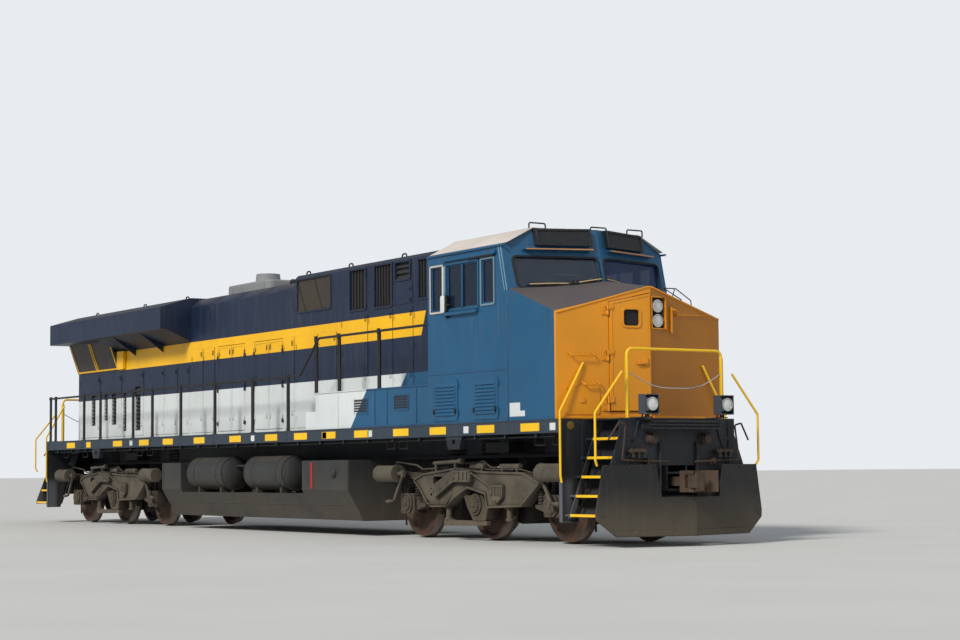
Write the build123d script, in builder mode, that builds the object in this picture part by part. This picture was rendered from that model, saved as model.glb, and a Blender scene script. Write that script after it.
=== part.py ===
from build123d import *

import math
import os

os.makedirs("parts", exist_ok=True)

# Six-axle wide-cab road diesel locomotive.
# Millimetres. +X points to the cab end, +Y to the left side, +Z up.
# The origin lies midway between the couplers, at the tips of the wheel flanges.

# Wheels and trucks
TREAD_R = 533.5
FLANGE_R = 561.0
AXLE_Z = FLANGE_R
AXLE_PITCH = 2008.0
TRUCK_X = 7016.0
WHEEL_BACK_Y = 678.0
WHEEL_FACE_Y = 818.0

# Underframe and platform
DECK = 1795.0
DECK_PLATE = 20.0
SILL_BOTTOM = 1603.0
SILL_Y = 1530.0
SILL_WEB = 30.0
PLATFORM_X = 10550.0
STEP_PANEL_X = 9800.0
END_HALF = 950.0
CENTRE_SILL_BOTTOM = 1273.0
COUPLER_PIN_X = 10050.0
COUPLER_Z = 904.0

# Cab and nose
CAB_REAR = 6308.0
CAB_FRONT = 8548.0
CAB_HALF = 1503.0
CAB_FLOOR = 2570.0
EAVE = 4420.0
ROOF = 4681.0
ROOF_HALF = 1000.0
WALL = 60.0
WINDSHIELD_X = 8770.0
WINDSHIELD_Z = 4418.0
WINDSHIELD_LEAN = 0.24
WINDSHIELD_SWEEP = 0.267
NOSE_TIP_X = 9986.0
NOSE_SWEEP = 0.1715
NOSE_SKIN = 50.0

# Hood
HOOD_HALF = 870.0
HOOD_REAR = -9550.0
RADIATOR_FRONT = -3670.0
ENGINE_FRONT = 750.0
ENGINE_TOP = 4538.0
AUX_TOP = 4638.0
RADIATOR_TOP = 4578.0
WING_HALF = 1540.0
WING_REAR = -9595.0
HOOD_SKIN = 60.0

# Fuel tank
TANK_X = (-3630.0, 3770.0)
TANK_TOP = CENTRE_SILL_BOTTOM
NOTCH_X = (-2780.0, 2160.0)
NOTCH_FLOOR = 708.0
RESERVOIR_R = 310.0

# Railings
RAIL_Y = 1495.0
RAIL_D = 42.0
RAIL_TOP = 2748.0
TALL_RAIL_TOP = 3358.0


def save(piece, name):
    """Label a finished piece and write it."""
    piece.part.label = name
    export_step(piece.part, f"parts/{name}.step")


def block(x, y, z, mode=Mode.ADD):
    """Rectangular block between two limits on each axis."""
    centre = ((x[0] + x[1]) / 2, (y[0] + y[1]) / 2, (z[0] + z[1]) / 2)
    with Locations(centre):
        Box(abs(x[1] - x[0]), abs(y[1] - y[0]), abs(z[1] - z[0]), mode=mode)


def side_plate(points, y, mode=Mode.ADD):
    """Outline in X and Z, as thick as the span of y."""
    with BuildSketch(Plane.XZ.offset(-min(y))) as outline:
        with BuildLine():
            Polyline(*points, close=True)
        make_face()
    extrude(outline.sketch, amount=-abs(y[1] - y[0]), mode=mode)


def cross_plate(points, x, mode=Mode.ADD):
    """Outline in Y and Z, as thick as the span of x."""
    with BuildSketch(Plane.YZ.offset(min(x))) as outline:
        with BuildLine():
            Polyline(*points, close=True)
        make_face()
    extrude(outline.sketch, amount=abs(x[1] - x[0]), mode=mode)


def flat_plate(points, z, mode=Mode.ADD):
    """Outline in X and Y, as thick as the span of z."""
    with BuildSketch(Plane.XY.offset(min(z))) as outline:
        with BuildLine():
            Polyline(*points, close=True)
        make_face()
    extrude(outline.sketch, amount=abs(z[1] - z[0]), mode=mode)


def round_bar(start, end, radius, mode=Mode.ADD):
    """Straight round bar between two points."""
    run = Vector(*end) - Vector(*start)
    with BuildSketch(Plane(origin=start, z_dir=run)) as section:
        Circle(radius)
    extrude(section.sketch, amount=run.length, mode=mode)


def bent_tube(points, bend, diameter):
    """Round tube along straight runs with rounded corners."""
    with BuildLine(mode=Mode.PRIVATE) as path:
        FilletPolyline(*points, radius=bend)
    with BuildSketch(Plane(origin=path.line @ 0, z_dir=path.line % 0)) as section:
        Circle(diameter / 2)
    sweep(section.sketch, path=path.line)


def cast_plate(points, y, corner, mode=Mode.ADD):
    """Outline in X and Z with rounded corners, as thick as the span of y."""
    with BuildSketch(Plane.XZ.offset(-min(y))) as outline:
        with BuildLine():
            Polyline(*points, close=True)
        make_face()
        fillet(outline.vertices(), corner)
    extrude(outline.sketch, amount=-abs(y[1] - y[0]), mode=mode)


def turned(points, origin, along, mode=Mode.ADD):
    """Round body, its points as distance along the axis and radius."""
    run = Vector(*along)
    out = Vector(1, 0, 0) if along[2] else Vector(0, 0, 1)
    with BuildSketch(Plane(origin=origin, x_dir=run, z_dir=run.cross(out))) as half:
        with BuildLine():
            Polyline(*points, close=True)
        make_face()
    revolve(half.sketch, axis=Axis(origin, along), mode=mode)


def wall_panel(side, x, z, wall, depth, corner=25.0, mode=Mode.ADD):
    """Rounded rectangle in X and Z on an upright side wall, raised outward by depth."""
    with BuildSketch(Plane.XZ.offset(-side * wall)) as outline:
        with Locations(((x[0] + x[1]) / 2, (z[0] + z[1]) / 2)):
            RectangleRounded(abs(x[1] - x[0]), abs(z[1] - z[0]), corner)
    extrude(outline.sketch, amount=-side * depth, mode=mode)


def wall_frame(side, x, z, wall, depth, rim):
    """Raised border round an opening in an upright side wall."""
    with BuildSketch(Plane.XZ.offset(-side * wall)) as outline:
        with Locations(((x[0] + x[1]) / 2, (z[0] + z[1]) / 2)):
            wide, high = abs(x[1] - x[0]), abs(z[1] - z[0])
            RectangleRounded(wide + 2 * rim, high + 2 * rim, rim)
            Rectangle(wide, high, mode=Mode.SUBTRACT)
    extrude(outline.sketch, amount=-side * depth)


def cut_front(tip_x, tip_z, lean, sweep_back, inset=0.0):
    """Trim the front to two planes that meet in an upright ridge on the centre line."""
    for side in (1, -1):
        normal = Vector(1, side * sweep_back, lean).normalized()
        origin = Vector(tip_x, 0, tip_z) - normal * inset
        split(bisect_by=Plane(origin=origin, z_dir=normal), keep=Keep.BOTTOM)


def cut_windshield(inset=0.0):
    cut_front(WINDSHIELD_X, WINDSHIELD_Z, WINDSHIELD_LEAN, WINDSHIELD_SWEEP, inset)


def cut_nose(inset=0.0):
    cut_front(NOSE_TIP_X, DECK, 0.0, NOSE_SWEEP, inset)


# Underframe: deck, side sills, centre sills, bolsters and coupler pockets
CENTRE_SILL_Y = 385.0
POCKET_HALF = 160.0
POCKET_PLATE = 30.0
POCKET_HEIGHT = 105.0
CENTRE_PLATE_R = 250.0
CENTRE_PLATE_Z = 1032.0
PAD_Z = 1403.0
PAD_Y = (1400.0, 1500.0)
LIFT_HOLE_R = 45.0

with BuildPart() as underframe:
    flat_plate(
        [
            (PLATFORM_X, END_HALF),
            (STEP_PANEL_X, END_HALF),
            (STEP_PANEL_X, SILL_Y),
            (-STEP_PANEL_X, SILL_Y),
            (-STEP_PANEL_X, END_HALF),
            (-PLATFORM_X, END_HALF),
            (-PLATFORM_X, -END_HALF),
            (-STEP_PANEL_X, -END_HALF),
            (-STEP_PANEL_X, -SILL_Y),
            (STEP_PANEL_X, -SILL_Y),
            (STEP_PANEL_X, -END_HALF),
            (PLATFORM_X, -END_HALF),
        ],
        (DECK - DECK_PLATE, DECK),
    )
    for side in (1, -1):
        sill = (side * (SILL_Y - SILL_WEB), side * SILL_Y)
        block((-STEP_PANEL_X, STEP_PANEL_X), sill, (SILL_BOTTOM, DECK))
        web = (side * (CENTRE_SILL_Y - 15), side * (CENTRE_SILL_Y + 15))
        flange = (side * (CENTRE_SILL_Y - 110), side * (CENTRE_SILL_Y + 110))
        length = (-STEP_PANEL_X, STEP_PANEL_X)
        block(length, web, (CENTRE_SILL_BOTTOM, DECK))
        block(length, flange, (CENTRE_SILL_BOTTOM, CENTRE_SILL_BOTTOM + 40))
    for end in (1, -1):
        # Body bolster with the centre plate that rests in the truck's bowl
        bolster_x = (end * TRUCK_X - 320, end * TRUCK_X + 320)
        block(bolster_x, (-SILL_Y + 10, SILL_Y - 10), (SILL_BOTTOM, DECK))
        block(bolster_x, (-700, 700), (1350, 1510))
        with Locations((end * TRUCK_X, 0, CENTRE_PLATE_Z)):
            Cylinder(CENTRE_PLATE_R, 340, align=(Align.CENTER, Align.CENTER, Align.MIN))
        # Jacking and lifting lugs under the side sills
        for side in (1, -1):
            y = (side * PAD_Y[0], side * PAD_Y[1])
            side_plate(
                [
                    (end * TRUCK_X - 230, SILL_BOTTOM + 5),
                    (end * TRUCK_X - 160, PAD_Z),
                    (end * TRUCK_X + 160, PAD_Z),
                    (end * TRUCK_X + 230, SILL_BOTTOM + 5),
                ],
                y,
            )
            with Locations(Pos(end * TRUCK_X, side * sum(PAD_Y) / 2, PAD_Z + 110) * Rot(90, 0, 0)):
                Cylinder(LIFT_HOLE_R, 200, mode=Mode.SUBTRACT)
        # Coupler pocket with its vertical pin
        pocket_x = (end * STEP_PANEL_X, end * (PLATFORM_X - DECK_PLATE))
        for side in (1, -1):
            plate = (side * POCKET_HALF, side * (POCKET_HALF + POCKET_PLATE))
            block(pocket_x, plate, (COUPLER_Z - POCKET_HEIGHT - POCKET_PLATE, DECK))
        for low in (-POCKET_HEIGHT - POCKET_PLATE, POCKET_HEIGHT):
            lid = (COUPLER_Z + low, COUPLER_Z + low + POCKET_PLATE)
            block(pocket_x, (-POCKET_HALF, POCKET_HALF), lid)
        back = (end * STEP_PANEL_X, end * (STEP_PANEL_X + 40))
        half = POCKET_HALF + POCKET_PLATE
        block(back, (-half, half), (COUPLER_Z - POCKET_HEIGHT, COUPLER_Z + POCKET_HEIGHT))
        block(back, (-CENTRE_SILL_Y, CENTRE_SILL_Y), (CENTRE_SILL_BOTTOM, DECK))
        with Locations((end * COUPLER_PIN_X, 0, COUPLER_Z)):
            Cylinder(44, 2 * POCKET_HEIGHT)
save(underframe, "underframe")


# Platform ends: pilot plate, anticlimber and a flight of steps at each corner
TREADS = 5
TREAD_LOW_Z = 458.0
TREAD_RISE = 267.0
TREAD_OUTER_Y = 1450.0
TREAD_SETBACK = 104.0
TREAD_DEPTH = 270.0
STEP_END_X = PLATFORM_X + 20


def steps(side):
    """Side panel, treads, end stringer and back sheet of one corner."""
    panel = [(side * 900, DECK - DECK_PLATE), (side * 1500, DECK - DECK_PLATE)]
    panel += [(side * 1500, 354), (side * 1200, 354)]
    cross_plate(panel, (STEP_PANEL_X - 40, STEP_PANEL_X))
    top_y = TREAD_OUTER_Y - TREADS * TREAD_SETBACK
    stringer = [
        (side * (TREAD_OUTER_Y + 10), 410),
        (side * (TREAD_OUTER_Y + 10), TREAD_LOW_Z + 20),
        (side * (top_y + 115), DECK - 230),
        (side * (top_y + 115), DECK),
        (side * (END_HALF - 20), DECK),
        (side * (END_HALF - 20), 1100),
        (side * (TREAD_OUTER_Y - TREAD_DEPTH), 410),
    ]
    cross_plate(stringer, (STEP_END_X - 20, STEP_END_X))
    for index in range(TREADS):
        outer = TREAD_OUTER_Y - index * TREAD_SETBACK
        z = TREAD_LOW_Z + index * TREAD_RISE
        y = (side * (outer - TREAD_DEPTH), side * outer)
        block((STEP_PANEL_X, STEP_END_X), y, (z - 30, z))
    low_y = TREAD_OUTER_Y - TREAD_DEPTH
    back = [
        (side * low_y, 410),
        (side * (low_y - 15), 410),
        (side * (low_y - 500), DECK - DECK_PLATE),
        (side * (low_y - 485), DECK - DECK_PLATE),
    ]
    cross_plate(back, (STEP_PANEL_X - 40, STEP_END_X))


with BuildPart() as front_end:
    plate_x = (PLATFORM_X - DECK_PLATE, PLATFORM_X)
    block(plate_x, (-END_HALF, END_HALF), (620, DECK - DECK_PLATE))
    block(plate_x, (-330, 330), (700, 1130), mode=Mode.SUBTRACT)
    # Anticlimber with three ribs across its face
    block((PLATFORM_X, PLATFORM_X + 200), (-640, 640), (DECK - 160, DECK - 30))
    for rib in range(3):
        z = DECK - 155 + rib * 45
        block((PLATFORM_X + 190, PLATFORM_X + 240), (-640, 640), (z, z + 20))
    for side in (1, -1):
        steps(side)
save(front_end, "front_end")

with BuildPart() as rear_end:
    add(front_end.part, rotation=(0, 0, 180))
save(rear_end, "rear_end")

# Snow plough: a V in plan, with chamfered lower corners and room for the coupler
PLOW_TIP_X = 10950.0
PLOW_SWEEP = 0.22
PLOW_PLATE = 30.0

with BuildPart() as front_plow:
    cross_plate(
        [
            (-1385, 1141),
            (-1500, 480),
            (-1490, 379),
            (-1195, 147),
            (1195, 147),
            (1490, 379),
            (1500, 480),
            (1385, 1141),
            (600, 1141),
            (520, 690),
            (-520, 690),
            (-600, 1141),
        ],
        (PLATFORM_X, PLOW_TIP_X + 50),
    )
    side_x = PLOW_TIP_X - PLOW_SWEEP * 1600
    flat_plate(
        [
            (PLOW_TIP_X, 0),
            (side_x, 1600),
            (side_x - PLOW_PLATE, 1600),
            (PLOW_TIP_X - PLOW_PLATE, 0),
            (side_x - PLOW_PLATE, -1600),
            (side_x, -1600),
        ],
        (0, 1200),
        mode=Mode.INTERSECT,
    )
    for y in (-760, -560, 560, 760):
        face_x = PLOW_TIP_X - PLOW_SWEEP * abs(y) - PLOW_PLATE / 2
        block((PLATFORM_X, face_x), (y - 12, y + 12), (640, 900))
save(front_plow, "front_plow")

# Fuel tank, cut away on the right for the two air reservoirs
with BuildPart() as fuel_tank:
    cross_plate(
        [
            (-1500, TANK_TOP),
            (-1500, 773),
            (-1200, 258),
            (1200, 258),
            (1500, 773),
            (1500, TANK_TOP),
        ],
        TANK_X,
    )
    block(NOTCH_X, (-1600, -800), (NOTCH_FLOOR, TANK_TOP + 10), mode=Mode.SUBTRACT)
save(fuel_tank, "fuel_tank")

RESERVOIR_Y = -1170.0
RESERVOIR_Z = 1068.0
RESERVOIR_SPANS = ((-2620.0, -980.0), (-200.0, 1440.0))
DOME = 95.0
# A point of the domed end's arc at half the reservoir's radius
DOME_R = (RESERVOIR_R**2 + DOME**2) / (2 * DOME)
DOME_MID = DOME_R - math.sqrt(DOME_R**2 - (RESERVOIR_R / 2) ** 2)

with BuildPart() as air_reservoirs:
    for rear_x, front_x in RESERVOIR_SPANS:
        with BuildSketch(Plane.XZ.offset(-RESERVOIR_Y)) as half:
            with BuildLine():
                Line((rear_x, RESERVOIR_Z), (front_x, RESERVOIR_Z))
                ThreePointArc(
                    (front_x, RESERVOIR_Z),
                    (front_x - DOME_MID, RESERVOIR_Z + RESERVOIR_R / 2),
                    (front_x - DOME, RESERVOIR_Z + RESERVOIR_R),
                )
                Line(
                    (front_x - DOME, RESERVOIR_Z + RESERVOIR_R),
                    (rear_x + DOME, RESERVOIR_Z + RESERVOIR_R),
                )
                ThreePointArc(
                    (rear_x + DOME, RESERVOIR_Z + RESERVOIR_R),
                    (rear_x + DOME_MID, RESERVOIR_Z + RESERVOIR_R / 2),
                    (rear_x, RESERVOIR_Z),
                )
            make_face()
        axis = Axis((rear_x, RESERVOIR_Y, RESERVOIR_Z), (1, 0, 0))
        revolve(axis=axis)
        for x in (rear_x + 350, front_x - 350):
            saddle_y = (RESERVOIR_Y - 180, RESERVOIR_Y + 180)
            block((x - 35, x + 35), saddle_y, (NOTCH_FLOOR, RESERVOIR_Z - 240))
save(air_reservoirs, "air_reservoirs")


# Nose: a loft of two sections, trimmed to the swept front
def nose_outline(x, skin=0.0):
    """Corners of the nose at x: upright sides and a top that rises to the centre line."""
    corner_z = 3322 + 0.362 * (9727 - x) - skin
    ridge_z = 3726 + 0.149 * (NOSE_TIP_X - x) - skin
    half = CAB_HALF - skin
    floor = DECK if skin == 0 else DECK + 30
    return [(-half, floor), (half, floor), (half, corner_z), (0, ridge_z), (-half, corner_z)]


def nose_form(rear_x, skin=0.0):
    """Solid nose from rear_x forward, drawn in by the skin's thickness."""
    with BuildPart(mode=Mode.PRIVATE) as form:
        for x in (rear_x, NOSE_TIP_X + 20):
            with BuildSketch(Plane.YZ.offset(x)):
                with BuildLine():
                    Polyline(*nose_outline(x, skin), close=True)
                make_face()
        loft(ruled=True)
        cut_nose(skin)
    return form.part


# Corners of the nose door as y, z
DOOR_EDGES = ((-676.0, 1900.0), (-2.0, 1900.0), (-2.0, 3630.0), (-676.0, 3480.0))
DOOR_GAP = 8.0
DOOR_THICK = 45.0
DOOR_PROUD = 20.0
# Hinge line of the nose door as x, y, and its three hinges as bottom z, top z
NOSE_HINGE = (9890.0, -702.0)
NOSE_HINGES = ((1910.0, 2120.0), (2630.0, 2790.0), (3290.0, 3430.0))
HINGE_PIN_R = 16.0
HEADLIGHT_Y = 166.0
# Length along the swept face for each millimetre of y
FACE_STRETCH = math.sqrt(1 + NOSE_SWEEP**2)


def nose_face(side, out=0.0):
    """Plane on one half of the nose's front, with its own axes across and up."""
    facing = Vector(1, side * NOSE_SWEEP, 0).normalized()
    origin = Vector(NOSE_TIP_X, 0, 0) + facing * out
    return Plane(origin=origin, x_dir=(-side * NOSE_SWEEP, 1, 0), z_dir=facing)


def nose_pad(side, y, z, out, thick, corner=8.0, mode=Mode.ADD):
    """Rounded rectangle on the nose's front between two y and two z."""
    with BuildSketch(nose_face(side, out)) as outline:
        with Locations((FACE_STRETCH * (y[0] + y[1]) / 2, (z[0] + z[1]) / 2)):
            RectangleRounded(FACE_STRETCH * abs(y[1] - y[0]), abs(z[1] - z[0]), corner)
    extrude(outline.sketch, amount=thick, mode=mode)


with BuildPart() as nose_shell:
    add(nose_form(CAB_FRONT))
    add(nose_form(CAB_FRONT - 10, NOSE_SKIN), mode=Mode.SUBTRACT)
    cross_plate(DOOR_EDGES, (9700, 10100), mode=Mode.SUBTRACT)
    # Pocket that frames the two headlights
    head_y = (HEADLIGHT_Y - 141, HEADLIGHT_Y + 141)
    block((9800, 9965), (head_y[0] - 20, head_y[1] + 20), (3098, 3588))
    block((9880, 10100), head_y, (3118, 3568), mode=Mode.SUBTRACT)
save(nose_shell, "nose_shell")

with BuildPart() as nose_door:
    with BuildSketch(Plane.YZ.offset(9700)) as leaf:
        with BuildLine():
            Polyline(*DOOR_EDGES, close=True)
        make_face()
        offset(amount=-DOOR_GAP, mode=Mode.REPLACE)
    extrude(amount=400)
    cut_nose(-DOOR_PROUD)
    # The inner face lies parallel to the right half of the nose's front
    split(bisect_by=nose_face(-1, -DOOR_THICK), keep=Keep.TOP)
    # Small window with a raised frame
    nose_pad(-1, (-475, -165), (3110, 3405), DOOR_PROUD, 14, 70)
    nose_pad(-1, (-445, -195), (3140, 3375), DOOR_PROUD + 14, -40, 45, mode=Mode.SUBTRACT)
    # Handle and the moving halves of the hinges
    nose_pad(-1, (-130, -60), (2560, 2680), DOOR_PROUD, 16, 20)
    nose_pad(-1, (-250, -75), (2585, 2615), DOOR_PROUD + 10, 22, 12)
    for low, high in NOSE_HINGES:
        middle = (low + high) / 2
        nose_pad(-1, (-700, -606), (middle + 4, high), DOOR_PROUD, 12, 6)
        round_bar((*NOSE_HINGE, middle + 4), (*NOSE_HINGE, high), HINGE_PIN_R)
save(nose_door, "nose_door")

# Cab shell: walls from the deck to the eaves, window and door openings
# Side windows as rear x, front x, bottom z, top z
SIDE_WINDOWS = (
    (6417.0, 6746.0, 3534.0, 4229.0),
    (6871.0, 7735.0, 3543.0, 4229.0),
    (7843.0, 8168.0, 3564.0, 4228.0),
)
# Windshield pane corners as y, z on the left side
PANE = ((55.0, 3888.0), (1330.0, 3775.0), (1360.0, 4228.0), (70.0, 4228.0))
CAB_DOOR_Y = (900.0, 1440.0)
CAB_DOOR_Z = (CAB_FLOOR, 4270.0)


def pane_cutter(side, x, inset=0.0):
    """Windshield pane outline with rounded corners, extruded along X."""
    with BuildSketch(Plane.YZ.offset(x[0])) as pane:
        with BuildLine():
            Polyline(*[(side * y, z) for y, z in PANE], close=True)
        make_face()
        fillet(pane.vertices(), 55)
        if inset:
            offset(amount=-inset, mode=Mode.REPLACE)
    return extrude(pane.sketch, amount=x[1] - x[0], mode=Mode.PRIVATE)


with BuildPart() as cab_shell:
    block((CAB_REAR, 9200), (-CAB_HALF, CAB_HALF), (DECK, EAVE))
    cut_windshield()
    add(nose_form(CAB_FRONT), mode=Mode.SUBTRACT)
    with BuildPart(mode=Mode.PRIVATE) as cab_space:
        inner = CAB_HALF - WALL
        block((CAB_REAR + WALL, 9200), (-inner, inner), (CAB_FLOOR, EAVE + 50))
        cut_windshield(WALL)
    add(cab_space.part, mode=Mode.SUBTRACT)
    block((CAB_FRONT - 60, 9500), (-1400, 1400), (DECK - 50, 3600), mode=Mode.SUBTRACT)
    for side in (1, -1):
        add(pane_cutter(side, (8300, 9300)), mode=Mode.SUBTRACT)
        wall = (side * (CAB_HALF - 2 * WALL), side * (CAB_HALF + 50))
        for rear_x, front_x, low, high in SIDE_WINDOWS:
            block((rear_x, front_x), wall, (low, high), mode=Mode.SUBTRACT)
        door_y = (side * CAB_DOOR_Y[0], side * CAB_DOOR_Y[1])
        block((CAB_REAR - 50, CAB_REAR + WALL + 5), door_y, CAB_DOOR_Z, mode=Mode.SUBTRACT)
save(cab_shell, "cab_shell")


# Cab roof with bevelled sides
def roof_prism(low, high, bottom, top, rear_x, inset):
    """Roof shape between two half widths, trimmed parallel to the windshield."""
    with BuildPart(mode=Mode.PRIVATE) as prism:
        cross_plate([(-low, bottom), (-high, top), (high, top), (low, bottom)], (rear_x, 9200))
        cut_windshield(inset)
    return prism.part


with BuildPart() as cab_roof:
    add(roof_prism(CAB_HALF, ROOF_HALF, EAVE, ROOF, CAB_REAR, 0))
    low_half = CAB_HALF - 1.6 * WALL
    high_half = ROOF_HALF - 0.4 * WALL
    space = roof_prism(low_half, high_half, EAVE - 1, ROOF - WALL, CAB_REAR + WALL, WALL)
    add(space, mode=Mode.SUBTRACT)
save(cab_roof, "cab_roof")

# Windows, set in the middle of the walls
GLASS = 12.0
GLASS_DEPTH = 25.0


def windshield_block(half, z, inset):
    """Block under both windshield planes."""
    with BuildPart(mode=Mode.PRIVATE) as stock:
        block((8200, 9400), (-half, half), z)
        cut_windshield(inset)
    return stock.part


def windshield_sheet(rear, front):
    """Bent sheet parallel to the windshield, between two distances behind it."""
    stock = windshield_block(1550, (3400, 4800), front)
    return stock - windshield_block(1560, (3390, 4810), rear)


with BuildPart() as cab_glass:
    sheet = windshield_sheet(GLASS_DEPTH + GLASS, GLASS_DEPTH)
    for side in (1, -1):
        add(sheet.intersect(pane_cutter(side, (8300, 9300))))
        pane_y = (side * (CAB_HALF - GLASS_DEPTH - GLASS), side * (CAB_HALF - GLASS_DEPTH))
        for rear_x, front_x, low, high in SIDE_WINDOWS:
            block((rear_x, front_x), pane_y, (low, high))
save(cab_glass, "cab_glass")

# Cab rear doors, hinged on their inner edges
# Hinge line of the left door as x, y, with the bottoms of its three hinges
CAB_HINGE = (6296.0, 905.0)
CAB_HINGES = (2760.0, 3380.0, 4000.0)
CAB_HINGE_R = 7.0
CAB_HINGE_HALF = 60.0
HINGE_PLAY = 4.0

with BuildPart() as cab_door_left:
    leaf_y = (CAB_DOOR_Y[0] + DOOR_GAP, CAB_DOOR_Y[1] - DOOR_GAP)
    leaf_z = (CAB_DOOR_Z[0] + DOOR_GAP, CAB_DOOR_Z[1] - DOOR_GAP)
    block((CAB_REAR, CAB_REAR + DOOR_THICK), leaf_y, leaf_z)
    window_y = (leaf_y[0] + 110, leaf_y[1] - 110)
    block((CAB_REAR - 10, CAB_REAR + 60), window_y, (3500, 4130), mode=Mode.SUBTRACT)
    block((CAB_REAR + 15, CAB_REAR + 27), window_y, (3500, 4130))
    for low in CAB_HINGES:
        base = low + HINGE_PLAY
        round_bar((*CAB_HINGE, base), (*CAB_HINGE, low + CAB_HINGE_HALF), CAB_HINGE_R)
        strap = (CAB_HINGE[0] - 5, CAB_REAR)
        block(strap, (CAB_HINGE[1] + 1, CAB_HINGE[1] + 60), (base, low + CAB_HINGE_HALF))
    # Door handle
    block((CAB_REAR - 14, CAB_REAR), (1365, 1405), (3285, 3375))
    block((CAB_REAR - 26, CAB_REAR - 14), (1290, 1400), (3320, 3340))
save(cab_door_left, "cab_door_left")

with BuildPart() as cab_door_right:
    add(mirror(cab_door_left.part, about=Plane.XZ, mode=Mode.PRIVATE))
save(cab_door_right, "cab_door_right")

# Crew seats and the control desk inside the cab
with BuildPart() as cab_seats:
    for y in (-950, 950):
        with Locations((7450, y, CAB_FLOOR)):
            Cylinder(70, 380, align=(Align.CENTER, Align.CENTER, Align.MIN))
            Cylinder(190, 25, align=(Align.CENTER, Align.CENTER, Align.MIN))
        block((7200, 7700), (y - 250, y + 250), (CAB_FLOOR + 380, CAB_FLOOR + 500))
        block((7130, 7250), (y - 230, y + 230), (CAB_FLOOR + 450, CAB_FLOOR + 1150))
save(cab_seats, "cab_seats")

with BuildPart() as control_desk:
    side_plate(
        [(7950, CAB_FLOOR), (8400, CAB_FLOOR), (8400, 3560), (8280, 3600), (7950, 3330)],
        (-1400, -500),
    )
save(control_desk, "control_desk")


def front_outline(points, corner=0.0):
    """Outline in Y and Z, extruded along X through the whole front."""
    with BuildSketch(Plane.YZ.offset(8200)) as outline:
        with BuildLine():
            Polyline(*points, close=True)
        make_face()
        if corner:
            fillet(outline.vertices(), corner)
    return extrude(outline.sketch, amount=1200, mode=Mode.PRIVATE)


# Number boards on the roof's front, left blank
BOARD_PROUD = 70.0
BOARD_LIP = 85.0
BOARD = ((150.0, 4408.0), (1000.0, 4408.0), (1000.0, 4660.0), (150.0, 4680.0))
BOARD_FACE = ((180.0, 4436.0), (970.0, 4436.0), (970.0, 4632.0), (180.0, 4650.0))

with BuildPart() as number_boards:
    case = windshield_sheet(0, -BOARD_LIP)
    for side in (1, -1):
        add(case.intersect(front_outline([(side * y, z) for y, z in BOARD])))
        window = front_outline([(side * y, z) for y, z in BOARD_FACE])
        add(windshield_sheet(-BOARD_PROUD, -BOARD_LIP - 5).intersect(window), mode=Mode.SUBTRACT)
save(number_boards, "number_boards")

# Trim outside the cab and the nose
GASKET_PROUD = 14.0
FRAME_PROUD = 16.0
# Corners of the rubber round a windshield pane on the left side as y, z
GASKET = ((30.0, 3862.0), (1358.0, 3746.0), (1390.0, 4256.0), (45.0, 4256.0))
VISOR = ((160.0, 4346.0), (1200.0, 4336.0), (1200.0, 4356.0), (160.0, 4368.0))
# Louvred doors low on the cab's side as rear x, front x
LOUVRE_DOORS = ((6473.0, 7157.0), (7593.0, 8253.0))
LOUVRE_Z = (1838.0, 2478.0)
LOUVRES = 9
# Grab irons on the nose's right half as outer y, inner y, z of the feet
GRAB_IRONS = ((-1307.0, -937.0, 2745.0), (-1104.0, -853.0, 2330.0))


def louvres(side, x, z, wall, count, out=22.0):
    """Row of pressed louvres between two x and two z, as one toothed strip."""
    pitch = (z[1] - z[0]) / count
    teeth = [(side * wall, z[0])]
    for index in range(count):
        low = z[0] + index * pitch
        teeth.append((side * (wall + out), low + 4))
        teeth.append((side * (wall + 2), low + pitch))
    teeth.append((side * wall, z[1]))
    cross_plate(teeth, x)


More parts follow.
